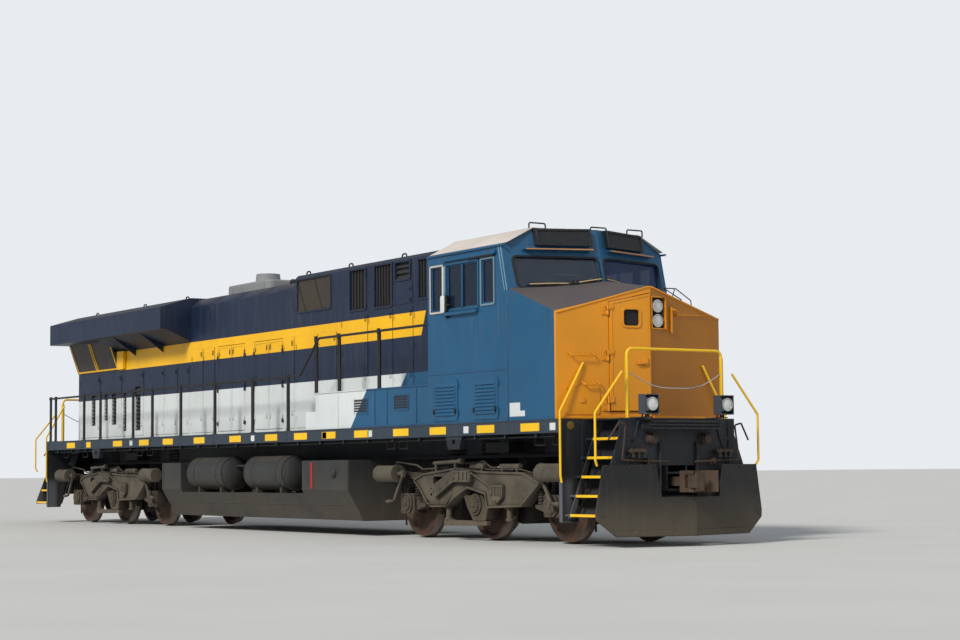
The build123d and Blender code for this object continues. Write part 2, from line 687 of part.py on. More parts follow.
with BuildPart() as cab_trim:
    rubber = windshield_sheet(0, -GASKET_PROUD)
    visor = windshield_sheet(0, -110)
    for side in (1, -1):
        ring = front_outline([(side * y, z) for y, z in GASKET], 85)
        hole = pane_cutter(side, (8100, 9500))
        add(rubber.intersect(ring - hole))
        add(visor.intersect(front_outline([(side * y, z) for y, z in VISOR])))
        # Window frames, the sill under the middle window and the gutter
        for rear_x, front_x, low, high in SIDE_WINDOWS:
            wall_frame(side, (rear_x, front_x), (low, high), CAB_HALF, FRAME_PROUD, 30)
        wall_panel(side, (6860, 7750), (3452, 3500), CAB_HALF, 60, 10)
        wall_panel(side, (6800, 8250), (4290, 4340), CAB_HALF, 45, 10)
        wall_panel(side, (CAB_REAR, 8480), (4390, 4418), CAB_HALF, 24, 5)
        wall_panel(side, (CAB_REAR, 8490), (2553, 2577), CAB_HALF, 7, 3)
        # Louvred doors with their hinges
        for rear_x, front_x in LOUVRE_DOORS:
            wall_panel(side, (rear_x, front_x), LOUVRE_Z, CAB_HALF, 12)
            inner = (rear_x + 60, front_x - 60)
            louvres(side, inner, (LOUVRE_Z[0] + 80, LOUVRE_Z[1] - 70), CAB_HALF + 12, LOUVRES)
            for z in (LOUVRE_Z[0] + 110, LOUVRE_Z[1] - 110):
                y = side * (CAB_HALF + 13)
                round_bar((front_x + 12, y, z - 40), (front_x + 12, y, z + 40), 12)
        # Fixed halves of the cab door's hinges
        hinge_y = side * CAB_HINGE[1]
        for low in CAB_HINGES:
            base = low - CAB_HINGE_HALF
            top = low - HINGE_PLAY
            round_bar((CAB_HINGE[0], hinge_y, base), (CAB_HINGE[0], hinge_y, top), CAB_HINGE_R)
            strap = (side * (CAB_HINGE[1] - 27), side * (CAB_HINGE[1] - 5))
            block((CAB_HINGE[0] - 5, CAB_REAR), strap, (base, top))
    # Fixed halves of the nose door's hinges
    for low, high in NOSE_HINGES:
        middle = (low + high) / 2 - HINGE_PLAY
        nose_pad(-1, (-790, -722), (low, high), 0, 14, 6)
        nose_pad(-1, (-730, -700), (low, middle), 0, 20, 4)
        round_bar((*NOSE_HINGE, low), (*NOSE_HINGE, middle), HINGE_PIN_R)
    # Hatch low on the right of the nose, with its knob
    nose_pad(-1, (-1390, -830), (1860, 2270), 0, 12, 30)
    nose_pad(-1, (-1140, -1070), (2030, 2100), 12, 14, 10)
    # Rail along the foot of the nose and the hooks on its left half
    for side in (1, -1):
        nose_pad(side, (side * 30, side * 1470), (1806, 1846), 0, 25, 6)
    nose_pad(1, (415, 440), (3060, 3440), 0, 40, 8)
    # Grab irons bent from round bar
    for outer_y, inner_y, z in GRAB_IRONS:
        feet = []
        for y in (outer_y, inner_y):
            root = Vector(NOSE_TIP_X + NOSE_SWEEP * y, y, z)
            feet.append((root, root + Vector(70, 0, -45)))
        path = [feet[0][0], feet[0][1], feet[1][1], feet[1][0]]
        bent_tube([tuple(spot) for spot in path], 20, 22)
    add(nose_form(CAB_FRONT), mode=Mode.SUBTRACT)
save(cab_trim, "cab_trim")

# Headlights, ditch lights and rear lamps
DITCH_Y = 680.0
DITCH_Z = 1985.0
LAMP_R = 92.0
# A lamp's bowl and lens, as distance along its axis and radius
LAMP_SECTION = ((0, 0), (0, 60), (40, LAMP_R), (58, LAMP_R), (58, LAMP_R - 8), (68, 50), (72, 0))

with BuildPart() as lamps:
    for z in (3230, 3444):
        turned(LAMP_SECTION, (9880, HEADLIGHT_Y, z), (1, 0, 0))
    for side in (1, -1):
        y = side * DITCH_Y
        # Square box open in front, on a bracket
        block((10700, 10850), (y - 125, y + 125), (DITCH_Z - 140, DITCH_Z + 135))
        block((10715, 10860), (y - 112, y + 112), (DITCH_Z - 127, DITCH_Z + 122), mode=Mode.SUBTRACT)
        round_bar((10715, y, DITCH_Z), (10800, y, DITCH_Z), 50)
        turned(LAMP_SECTION, (10795, y, DITCH_Z), (1, 0, 0))
        block((10440, 10790), (y - 60, y + 60), (DECK, DECK + 15))
        block((10720, 10750), (y - 30, y + 30), (DECK, DITCH_Z - 130))
    for z in (4180, 4390):
        turned(LAMP_SECTION, (WING_REAR, 0, z), (-1, 0, 0))
save(lamps, "lamps")

# Raised boxes beside the hood behind the cab
with BuildPart() as side_boxes:
    for side in (1, -1):
        width = (side * HOOD_HALF, side * 1500)
        block((2660, CAB_REAR), width, (DECK, 2418))
        block((2300, 2660), width, (DECK, 2106))
save(side_boxes, "side_boxes")

# Hood behind the cab, with its intake openings
# Openings as filling, rear x, front x, bottom z, top z
INTAKES = (
    ("screen", 850.0, 2060.0, 3968.0, 4538.0),
    ("upright", 2770.0, 3290.0, 3858.0, 4538.0),
    ("upright", 3610.0, 4160.0, 3848.0, 4548.0),
    ("level", 4300.0, 4750.0, 4258.0, 4538.0),
    ("upright", 5040.0, 5300.0, 3898.0, 4528.0),
)
# Tall grilles low on the radiator compartment's side as rear x, front x, bottom z, top z
SIDE_GRILLES = (
    (-8780.0, -8560.0, 2130.0, 2790.0),
    (-8050.0, -7870.0, 2230.0, 2790.0),
    (-7640.0, -7400.0, 2130.0, 2790.0),
    (-7020.0, -6860.0, 1980.0, 2790.0),
    (-6400.0, -6120.0, 1980.0, 2900.0),
)
INTAKE_DEPTH = 60.0
GRILLE_DEPTH = 50.0
SLAT_PITCH = 100.0
SLAT = 24.0
BLADE_PITCH = 82.0


def hood_block(rear_x, front_x, top, chamfer_size):
    """Solid stretch of hood with its upper edges cut back."""
    edge = HOOD_HALF - chamfer_size
    cross_plate(
        [
            (-HOOD_HALF, DECK),
            (HOOD_HALF, DECK),
            (HOOD_HALF, top - chamfer_size),
            (edge, top),
            (-edge, top),
            (-HOOD_HALF, top - chamfer_size),
        ],
        (rear_x, front_x),
    )


with BuildPart() as aux_hood:
    hood_block(ENGINE_FRONT, CAB_REAR, AUX_TOP, 60)
    for side in (1, -1):
        depth = (side * (HOOD_HALF - INTAKE_DEPTH), side * (HOOD_HALF + 10))
        for filling, rear_x, front_x, low, high in INTAKES:
            block((rear_x, front_x), depth, (low, high), mode=Mode.SUBTRACT)
save(aux_hood, "aux_hood")


def patches(rows, grow=0.0, mode=Mode.ADD):
    """Rectangles in a sketch from rows of rear x, front x, bottom z, top z."""
    for rear_x, front_x, low, high in rows:
        with Locations(((rear_x + front_x) / 2, (low + high) / 2)):
            wide = front_x - rear_x + 2 * grow
            tall = high - low + 2 * grow
            if grow:
                RectangleRounded(wide, tall, grow, mode=mode)
            else:
                Rectangle(wide, tall, mode=mode)


# Areas of the intakes without the word for their filling
INTAKE_AREAS = [row[1:] for row in INTAKES]
INTAKE_BACK = HOOD_HALF - INTAKE_DEPTH

with BuildPart() as intake_grilles:
    with BuildSketch(Plane.XZ.offset(-INTAKE_BACK)) as backs:
        patches(INTAKE_AREAS)
    extrude(backs.sketch, amount=-12)
    for filling, rear_x, front_x, low, high in INTAKES:
        if filling == "screen":
            wall_panel(1, (rear_x, front_x), (low, high), HOOD_HALF - 22, 10, 5)
            for x in (rear_x + 20, (rear_x + front_x) / 2, front_x - 20):
                block((x - 12, x + 12), (INTAKE_BACK, HOOD_HALF - 22), (low, high))
        elif filling == "level":
            count = round((high - low) / BLADE_PITCH)
            louvres(1, (rear_x, front_x), (low, high), INTAKE_BACK, count, INTAKE_DEPTH - 4)
        else:
            count = round((front_x - rear_x) / SLAT_PITCH)
            with BuildSketch(Plane.XZ.offset(-INTAKE_BACK)) as slats:
                with Locations(((rear_x + front_x) / 2, (low + high) / 2)):
                    with GridLocations((front_x - rear_x) / count, 1, count, 1):
                        Rectangle(SLAT, high - low)
            extrude(slats.sketch, amount=5 - INTAKE_DEPTH)
    for rear_x, front_x, low, high in SIDE_GRILLES:
        count = round((high - low) / BLADE_PITCH)
        back = HOOD_HALF - GRILLE_DEPTH
        louvres(1, (rear_x, front_x), (low, high), back, count, GRILLE_DEPTH - 4)
    mirror(about=Plane.XZ)
save(intake_grilles, "intake_grilles")

# Engine room: a hollow hood with door openings on both sides
LEAF_W = 560.0
PAIR_CENTRES = (-1850.0, -307.0)
DOORWAY_Z = (1870.0, 3530.0)
LEAF_THICK = 40.0

with BuildPart() as engine_hood:
    hood_block(RADIATOR_FRONT, ENGINE_FRONT, ENGINE_TOP, 150)
    cross_plate(
        [
            (-HOOD_HALF + HOOD_SKIN, DECK - 1),
            (HOOD_HALF - HOOD_SKIN, DECK - 1),
            (HOOD_HALF - HOOD_SKIN, ENGINE_TOP - 150 - HOOD_SKIN / 2),
            (HOOD_HALF - 180, ENGINE_TOP - HOOD_SKIN),
            (-HOOD_HALF + 180, ENGINE_TOP - HOOD_SKIN),
            (-HOOD_HALF + HOOD_SKIN, ENGINE_TOP - 150 - HOOD_SKIN / 2),
        ],
        (RADIATOR_FRONT + HOOD_SKIN, ENGINE_FRONT - HOOD_SKIN),
        mode=Mode.SUBTRACT,
    )
    for centre in PAIR_CENTRES:
        doorway = (centre - LEAF_W - DOOR_GAP * 1.5, centre + LEAF_W + DOOR_GAP * 1.5)
        for side in (1, -1):
            wall = (side * (HOOD_HALF - HOOD_SKIN - 5), side * (HOOD_HALF + 5))
            block(doorway, wall, DOORWAY_Z, mode=Mode.SUBTRACT)
save(engine_hood, "engine_hood")

# Door leaves, two for each doorway, with pressed fields, latches and hinges
# Hinge line beyond the leaf's far edge, and outside the hood's side
HINGE_OFFSET = 568.0
HINGE_Y = HOOD_HALF + 18
HINGE_R = 12.0
HINGE_HALF = 70.0
HINGES = (2060.0, 2700.0, 3340.0)
LATCHES = (2150.0, 3420.0)


def latch(side, x, z, wall):
    """Latch plate with a turned-down handle."""
    wall_panel(side, (x - 24, x + 24), (z - 45, z + 45), wall, 10, 10)
    wall_panel(side, (x - 9, x + 9), (z - 70, z + 20), wall + 10, 16, 6)


for side, side_name in ((-1, "right"), (1, "left")):
    for pair, centre in enumerate(PAIR_CENTRES, start=1):
        for swing, leaf_name in ((-1, "rear"), (1, "front")):
            with BuildPart() as leaf:
                near = centre + swing * DOOR_GAP / 2
                far = centre + swing * (LEAF_W + DOOR_GAP / 2)
                leaf_y = (side * (HOOD_HALF - LEAF_THICK), side * HOOD_HALF)
                leaf_z = (DOORWAY_Z[0] + DOOR_GAP, DOORWAY_Z[1] - DOOR_GAP)
                block((near, far), leaf_y, leaf_z)
                field = (near + swing * 45, far - swing * 45)
                field_z = (leaf_z[0] + 45, leaf_z[1] - 45)
                wall_panel(side, field, field_z, HOOD_HALF, -5, 30, mode=Mode.SUBTRACT)
                for z in LATCHES:
                    latch(side, near + swing * 62, z, HOOD_HALF - 5)
                hinge_x = centre + swing * HINGE_OFFSET
                for z in HINGES:
                    base, top = z + HINGE_PLAY, z + HINGE_HALF
                    round_bar((hinge_x, side * HINGE_Y, base), (hinge_x, side * HINGE_Y, top), HINGE_R)
                    strap = (side * HOOD_HALF, side * (HINGE_Y - 6))
                    block((hinge_x, hinge_x - swing * 45), strap, (base, top))
            save(leaf, f"hood_door_{side_name}_{pair}_{leaf_name}")

# Fixed doors on the hood as rear x, front x, bottom z, top z
FIXED_DOORS = (
    (-9430.0, -8330.0, 1870.0, 3240.0),
    (-8230.0, -7130.0, 1870.0, 3240.0),
    (-7060.0, -5980.0, 1870.0, 3240.0),
    (-5620.0, -4940.0, 1870.0, 3230.0),
    (-4900.0, -4300.0, 1870.0, 3230.0),
    (-4260.0, -3740.0, 1870.0, 3230.0),
    (-3600.0, -3100.0, 1870.0, 3530.0),
    (-3060.0, -2580.0, 1870.0, 3530.0),
    (330.0, 710.0, 1870.0, 3530.0),
    (800.0, 1600.0, 1870.0, 3530.0),
    (1640.0, 2280.0, 1870.0, 3530.0),
    (2480.0, 3360.0, 2450.0, 3790.0),
    (3410.0, 4190.0, 2450.0, 3790.0),
    (4240.0, 4840.0, 2450.0, 3790.0),
    (4890.0, 6260.0, 2450.0, 3790.0),
    (4240.0, 4840.0, 3840.0, 4200.0),
)
PANEL_PROUD = 9.0
PANEL_FACE = HOOD_HALF + PANEL_PROUD
# Latches low and high on every fixed door, as x, z
LATCH_SPOTS = []
for rear_x, front_x, low, high in FIXED_DOORS:
    LATCH_SPOTS.append((front_x - 60, low + 0.17 * (high - low)))
    LATCH_SPOTS.append((front_x - 60, high - 110))

with BuildPart() as hood_panels:
    with BuildSketch(Plane.XZ.offset(-HOOD_HALF)) as doors:
        patches([(a + 25, b - 25, low + 25, high - 25) for a, b, low, high in FIXED_DOORS], 25)
        patches(SIDE_GRILLES, mode=Mode.SUBTRACT)
    extrude(doors.sketch, amount=-PANEL_PROUD)
    with BuildSketch(Plane.XZ.offset(-PANEL_FACE)) as plates:
        with Locations(*LATCH_SPOTS):
            RectangleRounded(48, 90, 10)
    extrude(plates.sketch, amount=-10)
    with BuildSketch(Plane.XZ.offset(-PANEL_FACE - 10)) as handles:
        with Locations(*LATCH_SPOTS):
            RectangleRounded(18, 80, 6)
    extrude(handles.sketch, amount=-14)
    # Frames round the intakes
    with BuildSketch(Plane.XZ.offset(-HOOD_HALF)) as frames:
        patches(INTAKE_AREAS, 30)
        patches(INTAKE_AREAS, mode=Mode.SUBTRACT)
    extrude(frames.sketch, amount=-18)
    # Deep box at the rear end of the stripe
    wall_panel(1, (-7240, -6900), (3300, 3690), HOOD_HALF, 75, 12)
    mirror(about=Plane.XZ)
save(hood_panels, "hood_panels")

# Engine and generator as one block
with BuildPart() as engine_block:
    cross_plate(
        [
            (-560, DECK),
            (560, DECK),
            (560, 2900),
            (700, 3500),
            (500, 3950),
            (-500, 3950),
            (-700, 3500),
            (-560, 2900),
        ],
        (-3450, 550),
    )
save(engine_block, "engine_block")

# Radiator compartment with overhanging wings
WING_STEP = -7260.0

with BuildPart() as radiator_cab:
    hood_block(HOOD_REAR, RADIATOR_FRONT, RADIATOR_TOP - 30, 20)
    rear_wing = [
        (0, 3308),
        (HOOD_HALF, 3308),
        (1090, 3938),
        (WING_HALF, 3938),
        (WING_HALF, 4380),
        (HOOD_HALF, RADIATOR_TOP),
        (0, RADIATOR_TOP),
    ]
    front_wing = [(0, 3700), (HOOD_HALF, 3700), (1400, 3938)] + rear_wing[3:]
    for side in (1, -1):
        cross_plate([(side * y, z) for y, z in rear_wing], (WING_REAR, WING_STEP))
        cross_plate([(side * y, z) for y, z in front_wing], (WING_STEP, RADIATOR_FRONT))
        depth = (side * (HOOD_HALF - GRILLE_DEPTH), side * (HOOD_HALF + 10))
        for rear_x, front_x, low, high in SIDE_GRILLES:
            block((rear_x, front_x), depth, (low, high), mode=Mode.SUBTRACT)
save(radiator_cab, "radiator_cab")

# Fittings of the hood: screens under the wings, fans, lifting lugs and fixed hinge halves
SLOPE = Vector(0, 1090 - HOOD_HALF, 3938 - 3308).normalized()
SLOPE_OUT = Vector(0, SLOPE.Z, -SLOPE.Y)
WING_SCREENS = ((-9500.0, -8420.0), (-8360.0, -7290.0))
FAN_X = (-8700.0, -7800.0, -5400.0)
FAN_R = 380.0
LUG_X = (950.0, 2500.0, 4300.0, 6000.0, -4200.0, -6300.0, -8900.0)


def slope_point(along, out):
    """Point on the slope under the rear wing, as y, z."""
    spot = Vector(0, HOOD_HALF, 3308) + SLOPE * along + SLOPE_OUT * out
    return (spot.Y, spot.Z)


def slope_plate(x, along, out):
    """Strip on the slope under the rear wing."""
    corners = ((along[0], 0), (along[1], 0), (along[1], out), (along[0], out))
    cross_plate([slope_point(*corner) for corner in corners], x)


with BuildPart() as hood_fittings:
    for rear_x, front_x in WING_SCREENS:
        slope_plate((rear_x, front_x), (45, 640), 10)
        for x in (rear_x, front_x - 30):
            slope_plate((x, x + 30), (20, 650), 26)
    slope_plate((WING_SCREENS[0][0], WING_SCREENS[-1][1]), (10, 45), 26)
    # Brackets under the front part of the wing
    for x in (-6400, -5000):
        gusset = [(HOOD_HALF, 3560), (HOOD_HALF, 3700), (1400, 3938)]
        cross_plate([(y, z) for y, z in gusset], (x - 12, x + 12))
    for x in LUG_X:
        top = AUX_TOP if x > ENGINE_FRONT else RADIATOR_TOP
        y = 700
        points = [(x - 70, y, top), (x - 70, y, top + 70), (x + 70, y, top + 70), (x + 70, y, top)]
        bent_tube(points, 45, 26)
    # Fixed halves of the hinges of the swinging doors
    for centre in PAIR_CENTRES:
        for swing in (-1, 1):
            x = centre + swing * HINGE_OFFSET
            for z in HINGES:
                base, top = z - HINGE_HALF, z - HINGE_PLAY
                round_bar((x, HINGE_Y, base), (x, HINGE_Y, top), HINGE_R)
                strap = (HOOD_HALF, (HINGE_Y - 6))
                block((x + swing * 5, x + swing * 50), strap, (base, top))
                block((x, x + swing * 20), ((HOOD_HALF + 6), HINGE_Y), (base, top))
    mirror(about=Plane.XZ)
    # Fan guards: a ring with crossing bars and a hub
    for x in FAN_X:
        ring = ((0, FAN_R - 26), (0, FAN_R), (55, FAN_R), (55, FAN_R - 26))
        turned(ring, (x, 0, RADIATOR_TOP), (0, 0, 1))
        turned(((0, 0), (0, 80), (40, 80), (50, 60), (50, 0)), (x, 0, RADIATOR_TOP), (0, 0, 1))
        with Locations((x, 0, RADIATOR_TOP + 36)):
            with PolarLocations(0, 4, angular_range=180):
                Box(2 * FAN_R - 20, 16, 16)
    # Hatches on the roof of the tall hood
    for rear_x, front_x in ((1000, 2300), (2450, 4100), (4250, 6150)):
        with BuildSketch(Plane.XY.offset(AUX_TOP)) as hatch:
            with Locations(((rear_x + front_x) / 2, 0)):
                RectangleRounded(front_x - rear_x, 1200, 60)
        extrude(hatch.sketch, amount=24)
save(hood_fittings, "hood_fittings")

# Exhaust silencer on the engine room's roof, with its outlet and stiffening bands
with BuildPart() as silencer:
    with BuildSketch(Plane.XY.offset(ENGINE_TOP)):
        with Locations((-2320, 0)):
            RectangleRounded(1840, 600, 140)
    extrude(amount=260)
    fillet(silencer.faces().sort_by(Axis.Z)[-1].edges(), 40)
    outlet = ((-20, 0), (-20, 250), (150, 230), (150, 205), (10, 205), (10, 0))
    turned(outlet, (-2000, 0, ENGINE_TOP + 260), (0, 0, 1))
    for x in (-2950, -2550, -1600):
        block((x - 20, x + 20), (-308, 308), (ENGINE_TOP, ENGINE_TOP + 215))
save(silencer, "silencer")

# Air horn: flared bells on a bar
BELL = ((0, 0), (0, 26), (180, 30), (280, 42), (340, 66), (350, 66), (350, 58), (300, 36), (300, 0))

with BuildPart() as horn:
    block((-560, -440), (-260, 260), (4598, 4640))
    block((-530, -470), (-40, 40), (ENGINE_TOP, 4600))
    for y, way in ((-210, 1), (-70, -1), (70, 1), (210, 1)):
        turned(BELL, (-500, y, 4690), (way, 0, 0))
        block((-540, -460), (y - 20, y + 20), (4630, 4700))
save(horn, "horn")


# Walkway railings
# Stanchions on the low rail and on the tall rail behind the cab, as x
LOW_STANCHIONS = (-9630, -9330, -7690, -6790, -5080, -4130, -2790, -1280, 280, 1650)
TALL_STANCHIONS = (2660, 3460, 4780)

STANCHION = 76.0


def stanchion(x, y, z):
    """Channel section post, open towards the walkway."""
    with BuildSketch(Plane.XY.offset(z[0])) as section:
        with Locations((x, y)):
            Rectangle(STANCHION, 30)
        with Locations((x, y - 8)):
            Rectangle(STANCHION - 20, 14, mode=Mode.SUBTRACT)
    extrude(section.sketch, amount=z[1] - z[0])


with BuildPart() as railing_left:
    for x in LOW_STANCHIONS:
        stanchion(x, RAIL_Y, (DECK, RAIL_TOP))
        block((x - 55, x + 55), (RAIL_Y - 30, RAIL_Y + 30), (DECK, DECK + 12))
    for x in TALL_STANCHIONS:
        stanchion(x, RAIL_Y - 10, (2418, TALL_RAIL_TOP))
    bent_tube(
        [
            (-9700, RAIL_Y, RAIL_TOP),
            (2100, RAIL_Y, RAIL_TOP),
            (2760, RAIL_Y, TALL_RAIL_TOP),
            (CAB_REAR, RAIL_Y, TALL_RAIL_TOP),
        ],
        150,
        RAIL_D,
    )
save(railing_left, "railing_left")

with BuildPart() as railing_right:
    add(mirror(railing_left.part, about=Plane.XZ, mode=Mode.PRIVATE))
save(railing_right, "railing_right")

# Rails across the platform ends
END_RAIL_X = 10520.0
END_POST_Y = 860.0

with BuildPart() as end_railings:
    for end in (1, -1):
        x = end * END_RAIL_X
        bent_tube(
            [
                (x, -END_POST_Y, DECK),
                (x, -END_POST_Y, 2770),
                (x, END_POST_Y, 2770),
                (x, END_POST_Y, DECK),
            ],
            90,
            RAIL_D,
        )
        # Flat bars that stiffen the posts
        for side in (1, -1):
            post = (side * (END_POST_Y - 32), side * (END_POST_Y + 32))
            block((x - 6, x + 6), post, (DECK, 2660))
save(end_railings, "end_railings")

# Gear on the pilot plates: uncoupling lever, end cocks and cable sockets
COCK_Y = (690.0, 785.0, 880.0)
COCK = ((0, 0), (0, 22), (60, 22), (60, 36), (100, 36), (110, 24), (150, 24), (150, 0))
SOCKET = ((0, 0), (0, 92), (14, 92), (14, 76), (60, 76), (74, 60), (110, 60), (110, 0))

with BuildPart() as end_gear:
    for end in (1, -1):
        face = end * PLATFORM_X
        for side in (1, -1):
            for y in COCK_Y:
                turned(COCK, (face, side * y, 1330), (end, 0, 0))
            turned(SOCKET, (face, side * 480, 1500), (end, 0, 0))
            # Lever with its handle beside the steps, in a bracket on the plate
            lever = [
                (face + end * 62, side * 1270, 1490),
                (face + end * 96, side * 1110, 1730),
                (face + end * 96, side * 990, 1700),
                (face + end * 96, side * 1060, 1205),
                (face + end * 96, side * 240, 1180),
            ]
            bent_tube(lever, 30, 26)
            bracket = (side * 588, side * 612)
            block((face, face + end * 110), bracket, (1150, 1230))
save(end_gear, "end_gear")

# Grab rails beside the steps
with BuildPart() as step_rails:
    for end in (1, -1):
        for side in (1, -1):
            inner = end * 9822
            outer = end * 10590
            bent_tube(
                [
                    (inner, side * 1500, 900),
                    (inner, side * 1520, 1000),
                    (inner, side * 1520, 1900),
                    (inner, side * 1100, 2600),
                ],
                60,
                34,
            )
            bent_tube(
                [
                    (end * 10570, side * 1440, 1130),
                    (outer, side * 1480, 1200),
                    (outer, side * 1480, 1860),
                    (outer, side * 1000, 2440),
                ],
                60,
                34,
            )
save(step_rails, "step_rails")

# Truck, modelled about its own centre pin and copied to both places
# Outline of a side frame as x, z
SIDE_FRAME = (
    (-1480, 1038),
    (-510, 1128),
    (310, 1068),
    (1310, 1048),
    (1770, 888),
    (1270, 538),
    (360, 508),
    (300, 718),
    (-170, 808),
    (-550, 658),
    (-800, 518),
    (-1230, 508),
    (-1370, 578),
    (-1590, 808),
    (-1790, 938),
)
FRAME_Y = (950.0, 1150.0)
FRAME_CORNER = 36.0
# Cast rim left round the sunk field of a side frame, and the field's depth
FRAME_RIM = 32.0
FRAME_FIELD = 22.0
FIELD_Y = FRAME_Y[1] - FRAME_FIELD
ARM_Y = (850.0, 1010.0)
BOX_Y = (866.0, 1100.0)
JOURNAL_R = 80.0
JOURNAL_END_Y = 1060.0
SPRING_TOP = 950.0
BOX_TOP = 722.0
# Inner spring: place beside the truck's centre, seat on the wing and top
WING_X = 1608.0
WING_Y = 995.0
WING_SEAT = 570.0
WING_TOP = 800.0
# Opening through the frame behind the rear brace, as x, z
FRAME_WINDOW = ((-1187, 989), (-864, 988), (-1081, 826), (-1188, 884))
# Raised brace that runs over the window to the middle box, as x, z
BRACE = (
    (-1154, 769),
    (-1011, 662),
    (-514, 898),
    (-356, 909),
    (-355, 1081),
    (-511, 1091),
    (-1008, 884),
)
# Housing of the springs at the middle axle, as x, z
SPRING_HOUSING = ((518, 858), (843, 859), (840, 669), (693, 586), (531, 667))
MIDDLE_BOX = ((-344, 698), (166, 701), (330, 519), (260, 316), (-76, 311), (-243, 512))
# Tie bar with its foot, hung below the frame, as x, z
TIE_BAR = ((-920, 222), (277, 243), (277, 311), (-700, 311), (-760, 330), (-920, 330))
# Small tubes lying on the frame as rear x, front x, z, radius
TUBES = ((-96, 275, 1140, 50), (703, 1217, 1134, 42))
# Air pipe along the frame's top, as x, z
PIPE_RUN = (
    (-2416, 1070),
    (-2416, 1228),
    (-1771, 1174),
    (-1587, 1105),
    (-863, 1130),
    (-685, 1167),
    (174, 1215),
    (373, 1123),
    (702, 1112),
)
# Sections of round pieces, as distance along the axis and radius
PEDESTAL = ((0, 0), (0, 62), (30, 62), (40, 46), (170, 46), (180, 62), (205, 62), (205, 0))
BOX_HOUSING = ((0, 0), (0, 165), (28, 165), (34, 120), (50, 120), (56, 46), (70, 40), (70, 0))
CYLINDER = ((0, 0), (0, 128), (20, 140), (60, 140), (66, 132), (560, 132), (566, 142), (600, 142), (600, 0))
# Springs: height of a coil and how far it stands out from the core
COIL_PITCH = 46.0
COIL_OUT = 14.0


def spring(x, y, z, radius, height):
    """Coil spring drawn as a core with a ring for every coil."""
    count = round(height / COIL_PITCH)
    pitch = height / count
    profile = [(0, 0)]
    for index in range(count):
        low = index * pitch
        profile.append((low, radius - COIL_OUT))
        profile.append((low + 0.3 * pitch, radius))
        profile.append((low + 0.7 * pitch, radius))
    profile.append((height, radius - COIL_OUT))
    profile.append((height, 0))
    turned(profile, (x, y, z), (0, 0, 1))


with BuildPart() as truck_frame:
    cast_plate(SIDE_FRAME, (FRAME_Y[0], FRAME_Y[1]), FRAME_CORNER)
    # Sunk field inside a cast rim
    with BuildSketch(Plane.XZ.offset(-FRAME_Y[1])) as field:
        with BuildLine():
            Polyline(*SIDE_FRAME, close=True)
        make_face()
        offset(amount=-FRAME_RIM, mode=Mode.REPLACE)
    extrude(field.sketch, amount=FRAME_FIELD, mode=Mode.SUBTRACT)
    whole = ((FRAME_Y[0] - 10), (FRAME_Y[1] + 10))
    cast_plate(FRAME_WINDOW, whole, 25, mode=Mode.SUBTRACT)
    for z in (790, 705):
        hole = (-1240, (FRAME_Y[0] - 10), z)
        round_bar(hole, (-1240, (FRAME_Y[1] + 10), z), 25, mode=Mode.SUBTRACT)
    cast_plate(BRACE, (FIELD_Y, 1205), 18)
    cast_plate(SPRING_HOUSING, (FIELD_Y, 1190), 24)
    for index in range(7):
        x = 560 + index * 40
        groove = (1182, 1200)
        block((x, x + 16), groove, (690, 835), mode=Mode.SUBTRACT)
    # Box with slots beside the brace
    block((-366, 4), (FIELD_Y, 1215), (903, 1081))
    for x in (-310, -200, -90):
        block((x, x + 44), (1203, 1225), (935, 1050), mode=Mode.SUBTRACT)
    round_bar((-30, 1196, 1060), (560, 1180, 806), 11)
    for end in (1, -1):
        arm = [
            (end * 1300, 1030),
            (end * 2560, 1085),
            (end * 2560, SPRING_TOP),
            (end * 1720, SPRING_TOP),
            (end * 1500, 860),
        ]
        side_plate(arm, (ARM_Y[0], ARM_Y[1]))
        # Seat and pocket of the inner spring
        block((end * 1540, end * 1672), (ARM_Y[0], 1060), (WING_TOP, SPRING_TOP))
        seat = (end * WING_X, WING_Y)
        round_bar((*seat, 560), (*seat, WING_TOP), 66, mode=Mode.SUBTRACT)
    # Pedestals, the tie bar under them and tubes on top
    for x in (-836, 850):
        turned(PEDESTAL, (x, 1050, 318), (0, 0, 1))
    block((-896, -776), (990, 1110), (500, 560))
    block((790, 910), (990, 1110), (500, 560))
    cast_plate(TIE_BAR, (1010, 1090), 12)
    for rear_x, front_x, z, radius in TUBES:
        round_bar((rear_x, 1100, z), (front_x, 1100, z), radius)
        for x in (rear_x + 60, front_x - 60):
            block((x - 18, x + 18), (1065, 1135), (1040, z))
    pipe = [(x, 1062, z) for x, z in PIPE_RUN]
    bent_tube(pipe, 30, 28)
    for x, z in ((-1300, 1116), (-420, 1182), (600, 1114)):
        block((x - 12, x + 12), (1050, 1074), (1040, z))
    # Parking brake drum and its shaft, on two legs
    round_bar((-1150, 1124, 1200), (-420, 1124, 1222), 30)
    round_bar((-430, 1124, 1222), (-330, 1124, 1225), 44)
    for x in (-1080, -520):
        block((x - 20, x + 20), (1100, 1148), (1050, 1212))
    mirror(about=Plane.XZ)
    for end in (1, -1):
        block((end * 800, end * 1200), (-960, 960), (900, 1020))
        # End transom, and sand pipes from the arms to the rail
        block((end * 2480, end * 2550), (-860, 860), (960, 1080))
        for side in (1, -1):
            sand = [(end * 2530, side * 880, 980), (end * 2560, side * 872, 760)]
            sand += [(end * 2610, side * 765, 520), (end * 2600, side * 760, 190)]
            bent_tube(sand, 40, 34)
    block((-810, 810), (-330, 330), (900, 1020))
    with Locations((0, 0, 1000)):
        Cylinder(330, 100, align=(Align.CENTER, Align.CENTER, Align.MIN))
    with Locations((0, 0, CENTRE_PLATE_Z - 2)):
        Cylinder(
            CENTRE_PLATE_R + 6,
            200,
            align=(Align.CENTER, Align.CENTER, Align.MIN),
            mode=Mode.SUBTRACT,
        )

